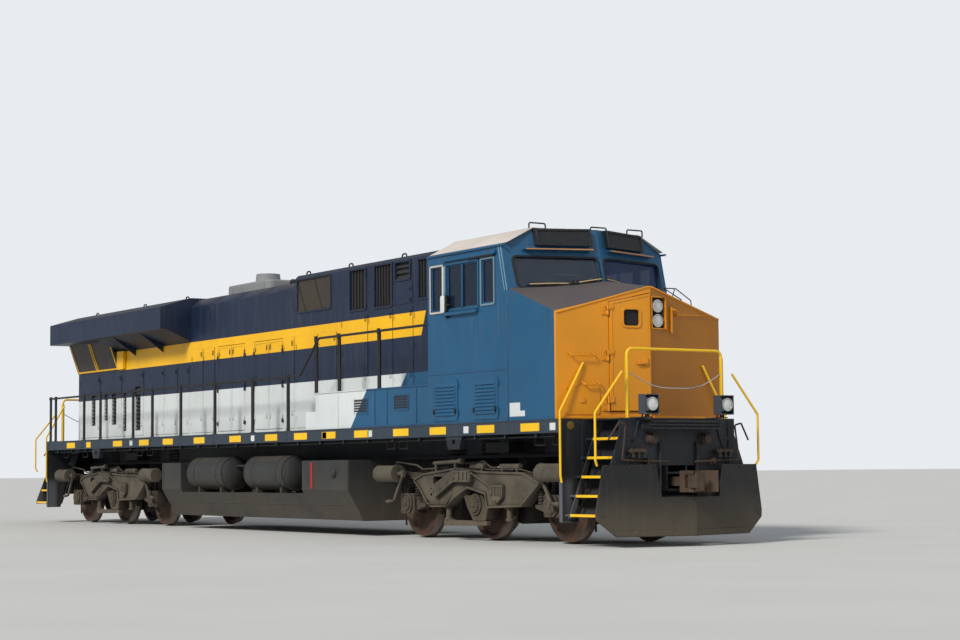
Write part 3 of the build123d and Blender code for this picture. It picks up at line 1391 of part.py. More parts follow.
with BuildPart() as truck_boxes:
    for axle in (-1, 0, 1):
        x = axle * AXLE_PITCH
        y = (BOX_Y[0], BOX_Y[1])
        if axle:
            box = ((-210, 395), (210, 395), (210, BOX_TOP), (-210, BOX_TOP))
            cast_plate([(x + dx, z) for dx, z in box], y, 26)
            for dx in (-105, 105):
                spring(x + dx, 938, BOX_TOP, 70, SPRING_TOP - BOX_TOP)
            # Wing with the spring nearer the middle of the truck
            wing = (
                (x - axle * 200, 690),
                (x - axle * 330, WING_SEAT),
                (x - axle * 480, WING_SEAT),
                (x - axle * 480, 520),
                (x - axle * 200, 450),
            )
            cast_plate(wing, (930, 1060), 12)
            spring(axle * WING_X, WING_Y, WING_SEAT, 56, WING_TOP - WING_SEAT)
        else:
            cast_plate(MIDDLE_BOX, y, 30)
        turned(BOX_HOUSING, (x, 1096, AXLE_Z), (0, 1, 0))
        for turn in range(6):
            angle = math.radians(30 + 60 * turn)
            spot = (x + 140 * math.cos(angle), AXLE_Z + 140 * math.sin(angle))
            start = (spot[0], 1120, spot[1])
            round_bar(start, (spot[0], 1134, spot[1]), 13)
        round_bar((x, 720, AXLE_Z), (x, 1080, AXLE_Z), JOURNAL_R + 1, mode=Mode.SUBTRACT)
    mirror(about=Plane.XZ)

# Brakes: cylinders outside the frame, levers, rods and shoes on the wheels
SHOE_Y = (735.0, 812.0)
SHOE_R = (TREAD_R + 14, TREAD_R + 72)
# Shoes as axle, the way they face and half the arc in degrees
SHOES = ((-1, 1, 17), (0, 1, 17), (1, -1, 17))


def brake_shoe(x, way, half_arc):
    """Curved shoe beside a wheel's tread, on a hanger from the frame."""
    with BuildSketch(Plane.XZ.offset(-SHOE_Y[0])) as shoe:
        with Locations((x, AXLE_Z)):
            Circle(SHOE_R[1])
            Circle(SHOE_R[0], mode=Mode.SUBTRACT)
        with BuildLine():
            reach = 900 * math.tan(math.radians(half_arc))
            Polyline(
                (x, AXLE_Z),
                (x + way * 900, AXLE_Z + reach),
                (x + way * 900, AXLE_Z - reach),
                close=True,
            )
        make_face(mode=Mode.INTERSECT)
    extrude(shoe.sketch, amount=SHOE_Y[0] - SHOE_Y[1])
    back = x + way * (SHOE_R[1] - 8)
    block((back, back + way * 40), (SHOE_Y[0] + 20, SHOE_Y[1] - 20), (AXLE_Z - 60, 930))
    round_bar((back + way * 20, 755, 925), (back + way * 20, FRAME_Y[0], 925), 18)


CYLINDER_Y = 1275.0
LEVER_Y = (1230.0, 1262.0)

with BuildPart() as truck_brakes:
    for end in (1, -1):
        turned(CYLINDER, (end * 2600, CYLINDER_Y, 1040), (-end, 0, 0))
        round_bar((end * 1860, CYLINDER_Y, 1040), (end * 2010, CYLINDER_Y, 1040), 34)
        clevis = (CYLINDER_Y - 30, CYLINDER_Y + 30)
        block((end * 1830, end * 1880), clevis, (985, 1095))
        # Pad that carries the cylinder on the arm of the frame
        pad = ((end * 2120, 960), (end * 2480, 960), (end * 2480, 1070), (end * 2120, 1070))
        cast_plate(pad, (ARM_Y[1], 1160), 14)
        # Lever from the rod down to the pull bar
        lever = ((end * 1845, 1090), (end * 1905, 1090), (end * 2215, 600), (end * 2165, 590))
        cast_plate(lever, LEVER_Y, 14)
        bar_y = sum(LEVER_Y) / 2
        round_bar((end * 2190, bar_y, 600), (end * 2440, bar_y, 585), 20)
        round_bar((end * 2280, bar_y, 594), (end * 2400, bar_y, 588), 30)
    for axle, way, half_arc in SHOES:
        brake_shoe(axle * AXLE_PITCH, way, half_arc)
    mirror(about=Plane.XZ)

# Traction motors with their gear cases, and bores for the axles
with BuildPart() as truck_motors:
    for axle, toward in ((-1, 1), (0, 1), (1, -1)):
        x = axle * AXLE_PITCH
        for at, radius in ((x + toward * 470, 300), (x, 160)):
            round_bar((at, -550, AXLE_Z), (at, 550, AXLE_Z), radius)
        block((x, x + toward * 470), (-550, 550), (AXLE_Z - 140, AXLE_Z + 140))
        # Gear case round the axle gear and the pinion
        with BuildSketch(Plane.XZ.offset(-550)) as case:
            with Locations((x, AXLE_Z)):
                Circle(240)
            with Locations((x + toward * 400, AXLE_Z + 20)):
                Circle(150)
            make_hull()
        extrude(case.sketch, amount=-75)
        for step in range(5):
            rib_x = x + toward * (470 - 160 + 80 * step)
            block((rib_x - 9, rib_x + 9), (-520, 520), (AXLE_Z + 180, AXLE_Z + 296))
        bore = ((x, -700, AXLE_Z), (x, 700, AXLE_Z))
        round_bar(*bore, 105, mode=Mode.SUBTRACT)

# Wheelset: half section through the axle, as distance along the axle and radius
WHEEL_HALF_SECTION = (
    (0, 0),
    (0, 95),
    (640, 95),
    (640, 150),
    (735, 150),
    (735, 440),
    (680, 480),
    (WHEEL_BACK_Y, FLANGE_R),
    (WHEEL_BACK_Y + 22, FLANGE_R),
    (WHEEL_BACK_Y + 40, TREAD_R + 3),
    (WHEEL_FACE_Y, TREAD_R - 4),
    (WHEEL_FACE_Y, 480),
    (775, 440),
    (765, 150),
    (830, 150),
    (830, JOURNAL_R),
    (JOURNAL_END_Y, JOURNAL_R),
    (JOURNAL_END_Y, 0),
)

with BuildPart() as wheelset:
    with BuildSketch(Plane.YZ):
        with BuildLine():
            Polyline(*WHEEL_HALF_SECTION, close=True)
        make_face()
    revolve(axis=Axis.Y)
    mirror(about=Plane.XZ)

TRUCKS = (("front", 1), ("rear", -1))
for name, end in TRUCKS:
    pieces = (
        ("frame", truck_frame),
        ("axle_boxes", truck_boxes),
        ("brakes", truck_brakes),
        ("motors", truck_motors),
    )
    for piece_name, source in pieces:
        with BuildPart() as placed:
            with Locations((end * TRUCK_X, 0, 0)):
                add(source.part)
        save(placed, f"{name}_truck_{piece_name}")
    for number, axle in enumerate((1, 0, -1), start=1):
        with BuildPart() as placed:
            with Locations((end * TRUCK_X + axle * AXLE_PITCH, 0, AXLE_Z)):
                add(wheelset.part)
        save(placed, f"{name}_wheelset_{number}")

# Coupler: shank on a vertical pin, and a head with a pivoting knuckle
KNUCKLE_PIN = (11020.0, -135.0)
HEAD_HALF = 150.0
LUG_GAP = 95.0

with BuildPart() as front_coupler:
    with Locations((COUPLER_PIN_X, 0, COUPLER_Z)):
        Cylinder(80, 150)
        Cylinder(45, 200, mode=Mode.SUBTRACT)
    block((COUPLER_PIN_X + 60, 10800), (-62, 62), (COUPLER_Z - 65, COUPLER_Z + 65))
    head = (COUPLER_Z - HEAD_HALF, COUPLER_Z + HEAD_HALF)
    flat_plate(
        [
            (10740, -62),
            (10820, -190),
            (10930, -190),
            (10930, 70),
            (11000, 130),
            (11120, 260),
            (11080, 300),
            (10880, 200),
            (10740, 62),
        ],
        head,
    )
    lug = [(10920, -190), (11020, -195), (11080, -150), (11060, -85), (10920, -75)]
    for low in (-HEAD_HALF, LUG_GAP):
        flat_plate(lug, (COUPLER_Z + low, COUPLER_Z + low + HEAD_HALF - LUG_GAP))
    with Locations((*KNUCKLE_PIN, COUPLER_Z)):
        Cylinder(20, 2 * HEAD_HALF)
save(front_coupler, "front_coupler")

with BuildPart() as front_knuckle:
    body = (COUPLER_Z - LUG_GAP + 5, COUPLER_Z + LUG_GAP - 5)
    with Locations((*KNUCKLE_PIN, COUPLER_Z)):
        Cylinder(58, body[1] - body[0])
    arm = [(11020, -193), (11100, -193), (11145, -140), (11150, -30), (11120, 10),
           (11075, 5), (11072, -75), (11020, -80)]
    flat_plate(arm, body)
    nose = [(11090, -140), (11145, -140), (11150, -30), (11120, 10), (11090, 5)]
    flat_plate(nose, (COUPLER_Z - 135, COUPLER_Z + 135))
    with Locations((*KNUCKLE_PIN, COUPLER_Z)):
        Cylinder(21, 300, mode=Mode.SUBTRACT)
save(front_knuckle, "front_knuckle")

with BuildPart() as rear_coupler:
    add(front_coupler.part, rotation=(0, 0, 180))
save(rear_coupler, "rear_coupler")

with BuildPart() as rear_knuckle:
    add(front_knuckle.part, rotation=(0, 0, 180))
save(rear_knuckle, "rear_knuckle")
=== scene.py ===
"""Looks of the diesel locomotive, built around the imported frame. Metres, +X forward, +Y left, +Z up."""
import math

import bmesh
import bpy
from mathutils import Matrix, Vector


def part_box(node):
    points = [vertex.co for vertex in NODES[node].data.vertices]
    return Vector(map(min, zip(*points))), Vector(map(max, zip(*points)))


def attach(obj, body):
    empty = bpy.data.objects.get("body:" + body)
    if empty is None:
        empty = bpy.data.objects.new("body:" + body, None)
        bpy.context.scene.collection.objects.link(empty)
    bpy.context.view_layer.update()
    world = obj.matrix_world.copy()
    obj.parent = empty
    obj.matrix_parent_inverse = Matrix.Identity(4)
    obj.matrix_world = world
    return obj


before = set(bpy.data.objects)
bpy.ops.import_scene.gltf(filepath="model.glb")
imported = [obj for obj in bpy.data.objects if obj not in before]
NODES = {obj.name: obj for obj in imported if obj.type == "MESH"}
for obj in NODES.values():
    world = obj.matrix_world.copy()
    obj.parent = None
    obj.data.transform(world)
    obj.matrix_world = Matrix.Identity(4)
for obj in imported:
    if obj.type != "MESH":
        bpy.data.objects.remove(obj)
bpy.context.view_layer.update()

# Places read from the frame
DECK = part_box("side_boxes")[0].z
HOOD_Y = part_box("aux_hood")[1].y
CAB_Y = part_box("cab_shell")[1].y
CAB_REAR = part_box("cab_shell")[0].x
SILL_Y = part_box("underframe")[1].y
NOSE_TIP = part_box("nose_shell")[1].x
AXLE_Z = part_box("front_wheelset_1")[1].z / 2

# Places that the solids share
RAIL_Y = 1.495
NOSE_SWEEP = 0.1715
STEP_X = 9.8
STRINGER_X = 9.95
TRUCKS = {"front": 7.016, "rear": -7.016}
AXLE_PITCH = 2.008
DITCH_Y = 0.68
DITCH_Z = 1.985
LENS_RADIUS = 0.094
WINDSHIELD_LEAN = 0.24
WINDSHIELD_SWEEP = 0.267
# How far the nose door's face stands proud, and its hinges as bottom z, top z
DOOR_PROUD = 0.020
NOSE_HINGES = ((1.91, 2.12), (2.63, 2.79), (3.29, 3.43))
# Intakes high on the hood as rear x, front x, bottom z, top z
INTAKES = (
    (0.85, 2.06, 3.968, 4.538), (2.77, 3.29, 3.858, 4.538), (3.61, 4.16, 3.848, 4.548),
    (4.30, 4.75, 4.258, 4.538), (5.04, 5.30, 3.898, 4.528),
)

SIDES = (-1, 1)
AHEAD = (1, 0, 0)
UP = (0, 0, 1)
SMOOTH_ANGLE = 35
BEVEL_ANGLE = 40


# Meshes


def placed(outline, axis, place):
    """Flat outline set at this place on the axis."""
    return [(*point[:axis], place, *point[axis:]) for point in outline]


def circle(centre, across, up, radius, sides):
    ring = []
    for k in range(sides):
        turn = math.tau * k / sides
        ring.append(centre + (across * math.cos(turn) + up * math.sin(turn)) * radius)
    return ring


def rounded_path(points, bend):
    """The same path with each inner corner replaced by a short arc."""
    steps = 4
    if not bend:
        return points
    path = [points[0]]
    for before, corner, after in zip(points, points[1:], points[2:]):
        back = before - corner
        ahead = after - corner
        reach = min(bend, back.length * 0.45, ahead.length * 0.45)
        start = corner + back.normalized() * reach
        end = corner + ahead.normalized() * reach
        for step in range(steps + 1):
            share = step / steps
            path.append(start.lerp(corner, share).lerp(corner.lerp(end, share), share))
    path.append(points[-1])
    return path


def rounded(low, high, radius, steps=3):
    """Rectangle with round corners, as a list of points."""
    outline = []
    corners = (
        (high[0] - radius, high[1] - radius), (low[0] + radius, high[1] - radius),
        (low[0] + radius, low[1] + radius), (high[0] - radius, low[1] + radius),
    )
    for quarter, (across, up) in enumerate(corners):
        for step in range(steps + 1):
            turn = (quarter + step / steps) * math.pi / 2
            outline.append((across + radius * math.cos(turn), up + radius * math.sin(turn)))
    return outline


class Piece:
    """Gathers simple closed forms in one mesh and finishes them as one piece."""

    def __init__(self):
        self.points = []
        self.faces = []

    def loft(self, rings, closed=False):
        """Skin over rings of equal count, capped at both ends, or joined end to start."""
        start = len(self.points)
        count = len(rings[0])
        for ring in rings:
            self.points.extend(Vector(point) for point in ring)
        total = len(rings)
        for index in range(total if closed else total - 1):
            low = start + index * count
            high = start + (index + 1) % total * count
            for k in range(count):
                after = (k + 1) % count
                self.faces.append((low + k, low + after, high + after, high + k))
        if not closed:
            last = start + (total - 1) * count
            self.faces.append(tuple(range(start, start + count)))
            self.faces.append(tuple(range(last, last + count)))

    def prism(self, outline, axis, span):
        """Outline in the other two axes, in order, between two places on this axis."""
        self.loft([placed(outline, axis, place) for place in span])

    def box(self, x, y, z):
        self.prism([(y[0], z[0]), (y[1], z[0]), (y[1], z[1]), (y[0], z[1])], 0, x)

    def border(self, outer, inner, axis, span):
        """Flat frame between two outlines of equal count."""
        low, high = span
        rings = ((outer, low), (outer, high), (inner, high), (inner, low))
        self.loft([placed(outline, axis, place) for outline, place in rings], closed=True)

    def lathe(self, origin, direction, profile, sides=20):
        """Rings of the profile's distance and radius along a straight axis."""
        origin = Vector(origin)
        axis = Vector(direction).normalized()
        across = axis.orthogonal().normalized()
        up = axis.cross(across)
        rings = [circle(origin + axis * along, across, up, radius, sides) for along, radius in profile]
        self.loft(rings)

    def rod(self, start, end, radius, sides=12):
        run = Vector(end) - Vector(start)
        self.lathe(start, run, [(0, radius), (run.length, radius)], sides)

    def tube(self, points, radius, bend=0.05, sides=8):
        """Round bar along straight runs with rounded corners."""
        path = rounded_path([Vector(point) for point in points], bend)
        rings = []
        across = (path[1] - path[0]).orthogonal().normalized()
        for index, place in enumerate(path):
            before = path[max(index - 1, 0)]
            after = path[min(index + 1, len(path) - 1)]
            along = (after - before).normalized()
            across = (across - along * across.dot(along)).normalized()
            rings.append(circle(place, across, along.cross(across), radius, sides))
        self.loft(rings)

    def bolts(self, places, direction, radius=0.014, length=0.014):
        """Hexagon heads."""
        for place in places:
            self.lathe(place, direction, [(0, radius), (length, radius * 0.9)], 6)

    def turned(self):
        """Adds the same forms at the other end."""
        count = len(self.points)
        self.points += [Vector((-point.x, -point.y, point.z)) for point in self.points]
        self.faces += [tuple(index + count for index in face) for face in self.faces]
        return self

    def done(self, name, paint, bevel=0.0, slot=None, body="chassis"):
        """Makes the object, softens its edges and lets it ride on its body."""
        mesh = bpy.data.meshes.new(name)
        mesh.from_pydata([tuple(point) for point in self.points], [], self.faces)
        work = bmesh.new()
        work.from_mesh(mesh)
        bmesh.ops.recalc_face_normals(work, faces=work.faces)
        work.to_mesh(mesh)
        work.free()
        made = bpy.data.objects.new(name, mesh)
        bpy.context.scene.collection.objects.link(made)
        if bevel:
            soft = made.modifiers.new("soft_edges", "BEVEL")
            soft.width = bevel
            soft.segments = 2
            soft.limit_method = "ANGLE"
            soft.angle_limit = math.radians(BEVEL_ANGLE)
            bpy.context.view_layer.update()
            graph = bpy.context.evaluated_depsgraph_get()
            made.data = bpy.data.meshes.new_from_object(made.evaluated_get(graph))
            made.modifiers.clear()
        made.data.shade_smooth()
        made.data.set_sharp_from_angle(angle=math.radians(SMOOTH_ANGLE))
        made.data.materials.append(PAINT[paint])
        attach(made, body)


# Materials


def screen_colour(seen):
    """Linear colour of red, green and blue as seen on a screen, 0 to 255."""
    values = []
    for part in seen:
        share = part / 255
        values.append(share / 12.92 if share < 0.04045 else ((share + 0.055) / 1.055) ** 2.4)
    return (*values, 1.0)


# Colours as seen on a screen
BLUE = (24, 84, 122)
NAVY = (20, 36, 62)
WHITE = (214, 220, 220)
YELLOW = (246, 186, 4)
# The nose's yellow, painted darker than YELLOW as painted shade for the front
GOLD_IN_SHADE = (222, 144, 4)
LINING = (120, 124, 120)
DUST = (148, 128, 100)
# Near black, used for real soot and also for painted shade
SOOT_AND_SHADE = (20, 20, 21)
RUST = (104, 62, 38)


class Finish:
    """A material built up in layers from procedural nodes."""

    def __init__(self, name, colour, roughness, metallic=0.0):
        self.material = bpy.data.materials.new(name)
        self.material.use_nodes = True
        self.tree = self.material.node_tree
        self.shader = self.tree.nodes["Principled BSDF"]
        self.shader.inputs["Metallic"].default_value = metallic
        spots = self.add("ShaderNodeTexCoord").outputs
        self.place = spots["Object"]
        self.x, self.y, self.z = self.add("ShaderNodeSeparateXYZ", Vector=self.place).outputs
        faces = self.add("ShaderNodeSeparateXYZ", Vector=spots["Normal"])
        self.face_x, self.face_y, self.face_z = faces.outputs
        self.width = self.size(self.y)
        self.colour = screen_colour(colour)
        self.roughness = roughness
        self.relief = None

    def add(self, kind, settings=None, **inputs):
        node = self.tree.nodes.new(kind)
        for key, value in (settings or {}).items():
            setattr(node, key, value)
        for key, value in inputs.items():
            self.feed(node.inputs[key], value)
        return node

    def feed(self, socket, value):
        if isinstance(value, bpy.types.NodeSocket):
            self.tree.links.new(value, socket)
        else:
            socket.default_value = value

    def math(self, operation, *values):
        node = self.add("ShaderNodeMath", {"operation": operation})
        for socket, value in zip(node.inputs, values):
            self.feed(socket, value)
        return node.outputs[0]

    def size(self, value):
        return self.math("ABSOLUTE", value)

    def plus(self, first, share, second):
        """The first value with a share of the second added."""
        return self.math("MULTIPLY_ADD", second, share, first)

    def rise(self, value, low, high):
        """0 below low and 1 above high, or the other way round where low is the larger."""
        node = self.add("ShaderNodeMapRange", {"interpolation_type": "SMOOTHSTEP"}, Value=value)
        ends = (min(low, high), max(low, high), float(low > high), float(low < high))
        for key, end in zip(("From Min", "From Max", "To Min", "To Max"), ends):
            node.inputs[key].default_value = end
        return node.outputs[0]

    def within(self, value, low, high, blur=0.004):
        above = self.rise(value, low - blur, low + blur)
        return self.both(above, self.rise(value, high + blur, high - blur))

    def both(self, *masks):
        found = masks[0]
        for mask in masks[1:]:
            found = self.math("MULTIPLY", found, mask)
        return found

    def noise(self, scale, low, high, stretch=(1, 1, 1)):
        mapping = self.add("ShaderNodeMapping", Vector=self.place)
        mapping.inputs["Scale"].default_value = stretch
        cloud = self.add("ShaderNodeTexNoise", Vector=mapping.outputs[0], Scale=scale, Detail=4.0)
        return self.rise(cloud.outputs[0], low, high)

    def holes(self, pitch, low, high):
        """Square holes of a mesh in the plane of X and Z."""
        masks = []
        for along in (self.x, self.z):
            wave = self.math("SINE", self.math("MULTIPLY", along, math.tau / pitch))
            masks.append(self.rise(wave, low, high))
        return self.both(*masks)

    def layer(self, colour, *masks, strength=1.0):
        """Lays a colour over what is there, as far as all the masks say."""
        mix = self.add("ShaderNodeMix", {"data_type": "RGBA"})
        mask = self.both(*masks)
        self.feed(mix.inputs[0], mask if strength == 1.0 else self.math("MULTIPLY", mask, strength))
        self.feed(mix.inputs[6], self.colour)
        self.feed(mix.inputs[7], screen_colour(colour))
        self.colour = mix.outputs[2]

    def rougher(self, mask, change):
        self.roughness = self.math("MULTIPLY_ADD", mask, change, self.roughness)

    def film(self, colour, strength, change, *masks):
        """A layer that also changes the roughness."""
        mask = self.both(*masks)
        self.layer(colour, mask, strength=strength)
        self.rougher(mask, change)

    def bump(self, height, distance, strength):
        node = self.add("ShaderNodeBump", Height=height, Distance=distance, Strength=strength)
        if self.relief is not None:
            self.feed(node.inputs["Normal"], self.relief)
        self.relief = node.outputs[0]

    def made(self):
        self.feed(self.shader.inputs["Base Color"], self.colour)
        self.feed(self.shader.inputs["Roughness"], self.roughness)
        if self.relief is not None:
            self.feed(self.shader.inputs["Normal"], self.relief)
        return self.material


def weathered(finish, dust=0.35, low_dust=0.0, streaks=0.15, wear=0.3, texture=0.3):
    """The common ageing of outdoor paint: patches, rain streaks, dust on ledges, worn edges."""
    patches = finish.noise(0.9, 0.3, 0.7)
    shade = finish.add("ShaderNodeHueSaturation", Color=finish.colour)
    finish.feed(shade.inputs["Value"], finish.math("MULTIPLY_ADD", patches, 0.14, 0.93))
    finish.colour = shade.outputs[0]
    if streaks:
        runs = finish.noise(2.4, 0.5, 0.75, (7, 7, 0.45))
        finish.film(DUST, streaks, 0.12, runs, finish.rise(finish.face_z, 0.5, 0.2))
    if dust:
        finish.film(DUST, dust, 0.2, finish.rise(finish.face_z, 0.55, 0.9), finish.noise(1.6, 0.1, 0.9))
    if low_dust:
        finish.film(DUST, low_dust, 0.2, finish.rise(finish.z, 1.3, 0.2), finish.noise(1.7, 0.15, 0.6))
    if wear:
        soft = finish.add("ShaderNodeBevel", {"samples": 3}, Radius=0.012)
        hard = finish.add("ShaderNodeNewGeometry").outputs["Normal"]
        facing = finish.add("ShaderNodeVectorMath", {"operation": "DOT_PRODUCT"})
        finish.feed(facing.inputs[0], soft.outputs[0])
        finish.feed(facing.inputs[1], hard)
        edge = finish.rise(facing.outputs["Value"], 0.985, 0.9)
        finish.layer(DUST, edge, finish.noise(22, 0.45, 0.6), strength=wear)
        finish.relief = soft.outputs[0]
    finish.rougher(finish.noise(5.0, 0.2, 0.8), 0.08)
    finish.bump(finish.noise(1.4, 0.0, 1.0), 0.006, 0.35)
    finish.bump(finish.noise(90, 0.2, 0.8), 0.0006, texture)
    return finish


def plain_paint(name, colour, roughness, metallic=0.0, **ageing):
    return weathered(Finish(name, colour, roughness, metallic), **ageing).made()


def hood_paint():
    """Navy hood with a yellow stripe, a white band and a slanted start of the blue."""
    finish = Finish("hood_livery", NAVY, 0.38)
    rise, within, x, z = finish.rise, finish.within, finish.x, finish.z
    below = rise(z, 2.692, 2.684)
    slant = finish.plus(x, -0.87, z)
    finish.layer(WHITE, below, rise(slant, 2.31, 2.29))
    finish.layer(BLUE, below, rise(slant, 2.29, 2.31))
    lean = finish.plus(x, -0.38, z)
    upright = rise(finish.size(finish.face_y), 0.55, 0.7)
    finish.layer(YELLOW, within(z, 3.288, 3.683), within(x, -7.262, 6.0), rise(lean, 3.86, 3.85), upright)
    # The deep box at the rear end of the stripe is yellow all round
    proud = rise(finish.width, HOOD_Y + 0.012, HOOD_Y + 0.014)
    finish.layer(YELLOW, proud, within(x, -7.25, -6.89), within(z, 3.29, 3.70))
    # Sooty roof
    finish.layer(SOOT_AND_SHADE, rise(finish.face_z, 0.5, 0.9), finish.noise(0.5, 0.1, 0.9), strength=0.5)
    return weathered(finish, dust=0.14, streaks=0.09).made()


def nose_paint():
    """Yellow front, blue sides with a bare white patch and a dull anti-glare top."""
    finish = Finish("nose_livery", GOLD_IN_SHADE, 0.36)
    rise, within, x, y, z = finish.rise, finish.within, finish.x, finish.y, finish.z
    side = rise(finish.width, CAB_Y - 0.003, CAB_Y - 0.001)
    finish.layer(BLUE, side, rise(x, 9.686, 9.682))
    tall = finish.both(rise(x, 8.82, 8.816), within(z, 1.86, 2.06))
    low = finish.both(rise(x, 8.94, 8.936), within(z, 1.86, 1.94))
    finish.layer(WHITE, side, finish.math("MAXIMUM", tall, low))
    upward = rise(finish.face_z, 0.6, 0.8)
    # One value for each plane along the swept front
    sheet = finish.plus(x, NOSE_SWEEP, finish.width)
    finish.layer((82, 76, 80), upward, rise(sheet, 9.95, 9.945))
    finish.rougher(finish.both(upward, rise(x, 9.8, 9.75)), 0.3)
    # Lining of the room inside
    inside = rise(finish.width, CAB_Y - 0.04, CAB_Y - 0.045)
    finish.layer(LINING, inside, rise(sheet, 9.945, 9.94), rise(finish.face_z, 0.5, 0.4))
    # Painted shade on the far half of the front, which faces away from the light
    far = rise(y, 0.0, 0.012)
    finish.layer((150, 92, 6), far, rise(finish.face_x, 0.6, 0.8), strength=0.75)
    # Painted shade: the inside of the headlight pocket is darkened
    pocket = finish.both(within(y, 0.028, 0.304), within(z, 3.12, 3.566), rise(x, 9.2, 9.25))
    finish.film((46, 32, 14), 1.0, 0.3, pocket, rise(sheet, 9.975, 9.965))
    return weathered(finish, dust=0.12, streaks=0.05).made()


def cab_paint():
    """Blue cab with a grey lining, up to the plane of the windshield."""
    finish = Finish("cab_livery", BLUE, 0.36)
    rise = finish.rise
    swept = finish.plus(finish.x, WINDSHIELD_SWEEP, finish.width)
    sheet = finish.plus(swept, WINDSHIELD_LEAN, finish.z)
    room = finish.both(rise(finish.width, CAB_Y - 0.045, CAB_Y - 0.05), rise(finish.z, 2.5, 2.56))
    finish.layer(LINING, room, finish.within(finish.x, CAB_REAR + 0.05, 8.45), rise(sheet, 9.79, 9.78))
    return weathered(finish, dust=0.15, streaks=0.08).made()


def trim_paint():
    """Blue on the cab, yellow on the nose, black rubber round the windshield."""
    finish = Finish("cab_trim_livery", BLUE, 0.4)
    rise, within, x, z = finish.rise, finish.within, finish.x, finish.z
    finish.layer(GOLD_IN_SHADE, rise(x, 9.3, 9.32))
    front = rise(finish.width, CAB_Y - 0.004, CAB_Y - 0.006)
    finish.film((18, 20, 24), 1.0, 0.3, front, within(x, 8.3, 9.3), rise(z, 4.30, 4.29))
    # Pale rims of the rear and the front side window
    beside = finish.both(rise(finish.width, CAB_Y + 0.004, CAB_Y + 0.008), within(z, 3.49, 4.275))
    finish.layer((196, 188, 178), beside, within(x, 6.37, 6.795))
    finish.layer((112, 136, 150), beside, within(x, 7.80, 8.215))
    # Painted highlight: an orange-brown front edge of the visors, where light catches it
    visor = finish.both(within(z, 4.33, 4.372), within(x, 8.55, 9.2))
    finish.layer((178, 128, 82), visor, rise(finish.face_x, 0.6, 0.8))
    return weathered(finish, dust=0.12, streaks=0.06).made()


def lamp_paint():
    """Dark boxes round clear lenses with pressed rings."""
    finish = Finish("lamps", (222, 224, 222), 0.1)
    off_axis = finish.math("SUBTRACT", finish.width, DITCH_Y)
    off_height = finish.math("SUBTRACT", finish.z, DITCH_Z)
    square = finish.math("MULTIPLY", off_axis, off_axis)
    far = finish.math("SQRT", finish.math("MULTIPLY_ADD", off_height, off_height, square))
    ring_rate = 900.0
    rings = finish.math("SINE", finish.math("MULTIPLY", far, ring_rate))
    finish.layer((168, 172, 172), finish.rise(rings, 0.2, 0.9), strength=0.5)
    ahead = finish.rise(finish.x, 10.4, 10.42)
    beside = finish.rise(far, LENS_RADIUS, LENS_RADIUS + 0.002)
    finish.film((58, 68, 78), 1.0, 0.45, ahead, beside)
    return weathered(finish, dust=0.15, streaks=0.1, wear=0.1).made()


def fittings_paint():
    """Mesh and yellow bars under the wings, navy hinges, dark guards on the roof."""
    finish = Finish("hood_fittings", NAVY, 0.5)
    rise, z = finish.rise, finish.z
    finish.layer((26, 30, 38), rise(z, 4.60, 4.604))
    wing = finish.both(rise(finish.x, -7.27, -7.275), rise(z, 3.295, 3.30), rise(z, 4.0, 3.99))
    finish.layer((50, 44, 42), wing)
    # Painted shade seen through the holes of the mesh
    finish.layer(SOOT_AND_SHADE, finish.holes(0.03, 0.1, 0.5), wing, strength=0.7)
    # The bars stand out from the slope under the rear wing, measured square to it
    foot_z, sine, cosine = 3.308, 0.3297, 0.9441
    across = finish.math("SUBTRACT", finish.width, HOOD_Y)
    height = finish.math("MULTIPLY", finish.math("SUBTRACT", z, foot_z), sine)
    out = finish.math("SUBTRACT", finish.math("MULTIPLY", across, cosine), height)
    finish.layer(YELLOW, wing, rise(out, 0.0115, 0.0125))
    return weathered(finish, dust=0.25, streaks=0.12, wear=0.2).made()


def grille_paint():
    """Dark blades, and woven wire on the large intake."""
    finish = Finish("grille_dark", (42, 42, 44), 0.7)
    woven = finish.both(finish.within(finish.x, 0.84, 2.07), finish.rise(finish.z, 3.95, 3.96))
    finish.layer((74, 68, 58), woven)
    # Painted shade seen through the holes of the woven wire
    finish.layer(SOOT_AND_SHADE, woven, finish.holes(0.02, 0.0, 0.5), strength=0.5)
    # Two dark diagonal bands across the mesh
    lean = finish.plus(finish.x, 0.52, finish.z)
    for place in (3.16, 3.78):
        finish.layer(SOOT_AND_SHADE, woven, finish.within(lean, place, place + 0.05, 0.01), strength=0.7)
    return weathered(finish, dust=0.15, streaks=0.05, wear=0.15).made()


def frame_paint():
    """Slate on sills and platform ends, near black below the deck, grey foot on the step wells."""
    finish = Finish("slate_paint", (46, 58, 72), 0.55)
    rise = finish.rise
    behind = rise(finish.width, SILL_Y - 0.03, SILL_Y - 0.06)
    shaded = finish.math("MAXIMUM", rise(finish.z, 1.58, 1.54), behind)
    finish.layer((16, 20, 27), shaded, strength=0.85)
    ends = rise(finish.size(finish.x), STEP_X - 0.06, STEP_X - 0.05)
    foot = finish.both(rise(finish.z, 1.0, 0.85), rise(finish.width, 1.25, 1.35))
    finish.layer((92, 98, 108), ends, foot, strength=0.7)
    return weathered(finish, dust=0.3, low_dust=0.12, streaks=0.06).made()


def plow_paint():
    """Black plough with road dirt that fades in towards its foot."""
    finish = Finish("plough_black", (13, 14, 17), 0.5)
    dirt = (88, 80, 66)
    finish.film(dirt, 0.8, 0.25, finish.rise(finish.z, 0.95, 0.15), finish.noise(1.3, 0.0, 0.45))
    return weathered(finish, dust=0.2, streaks=0.06).made()


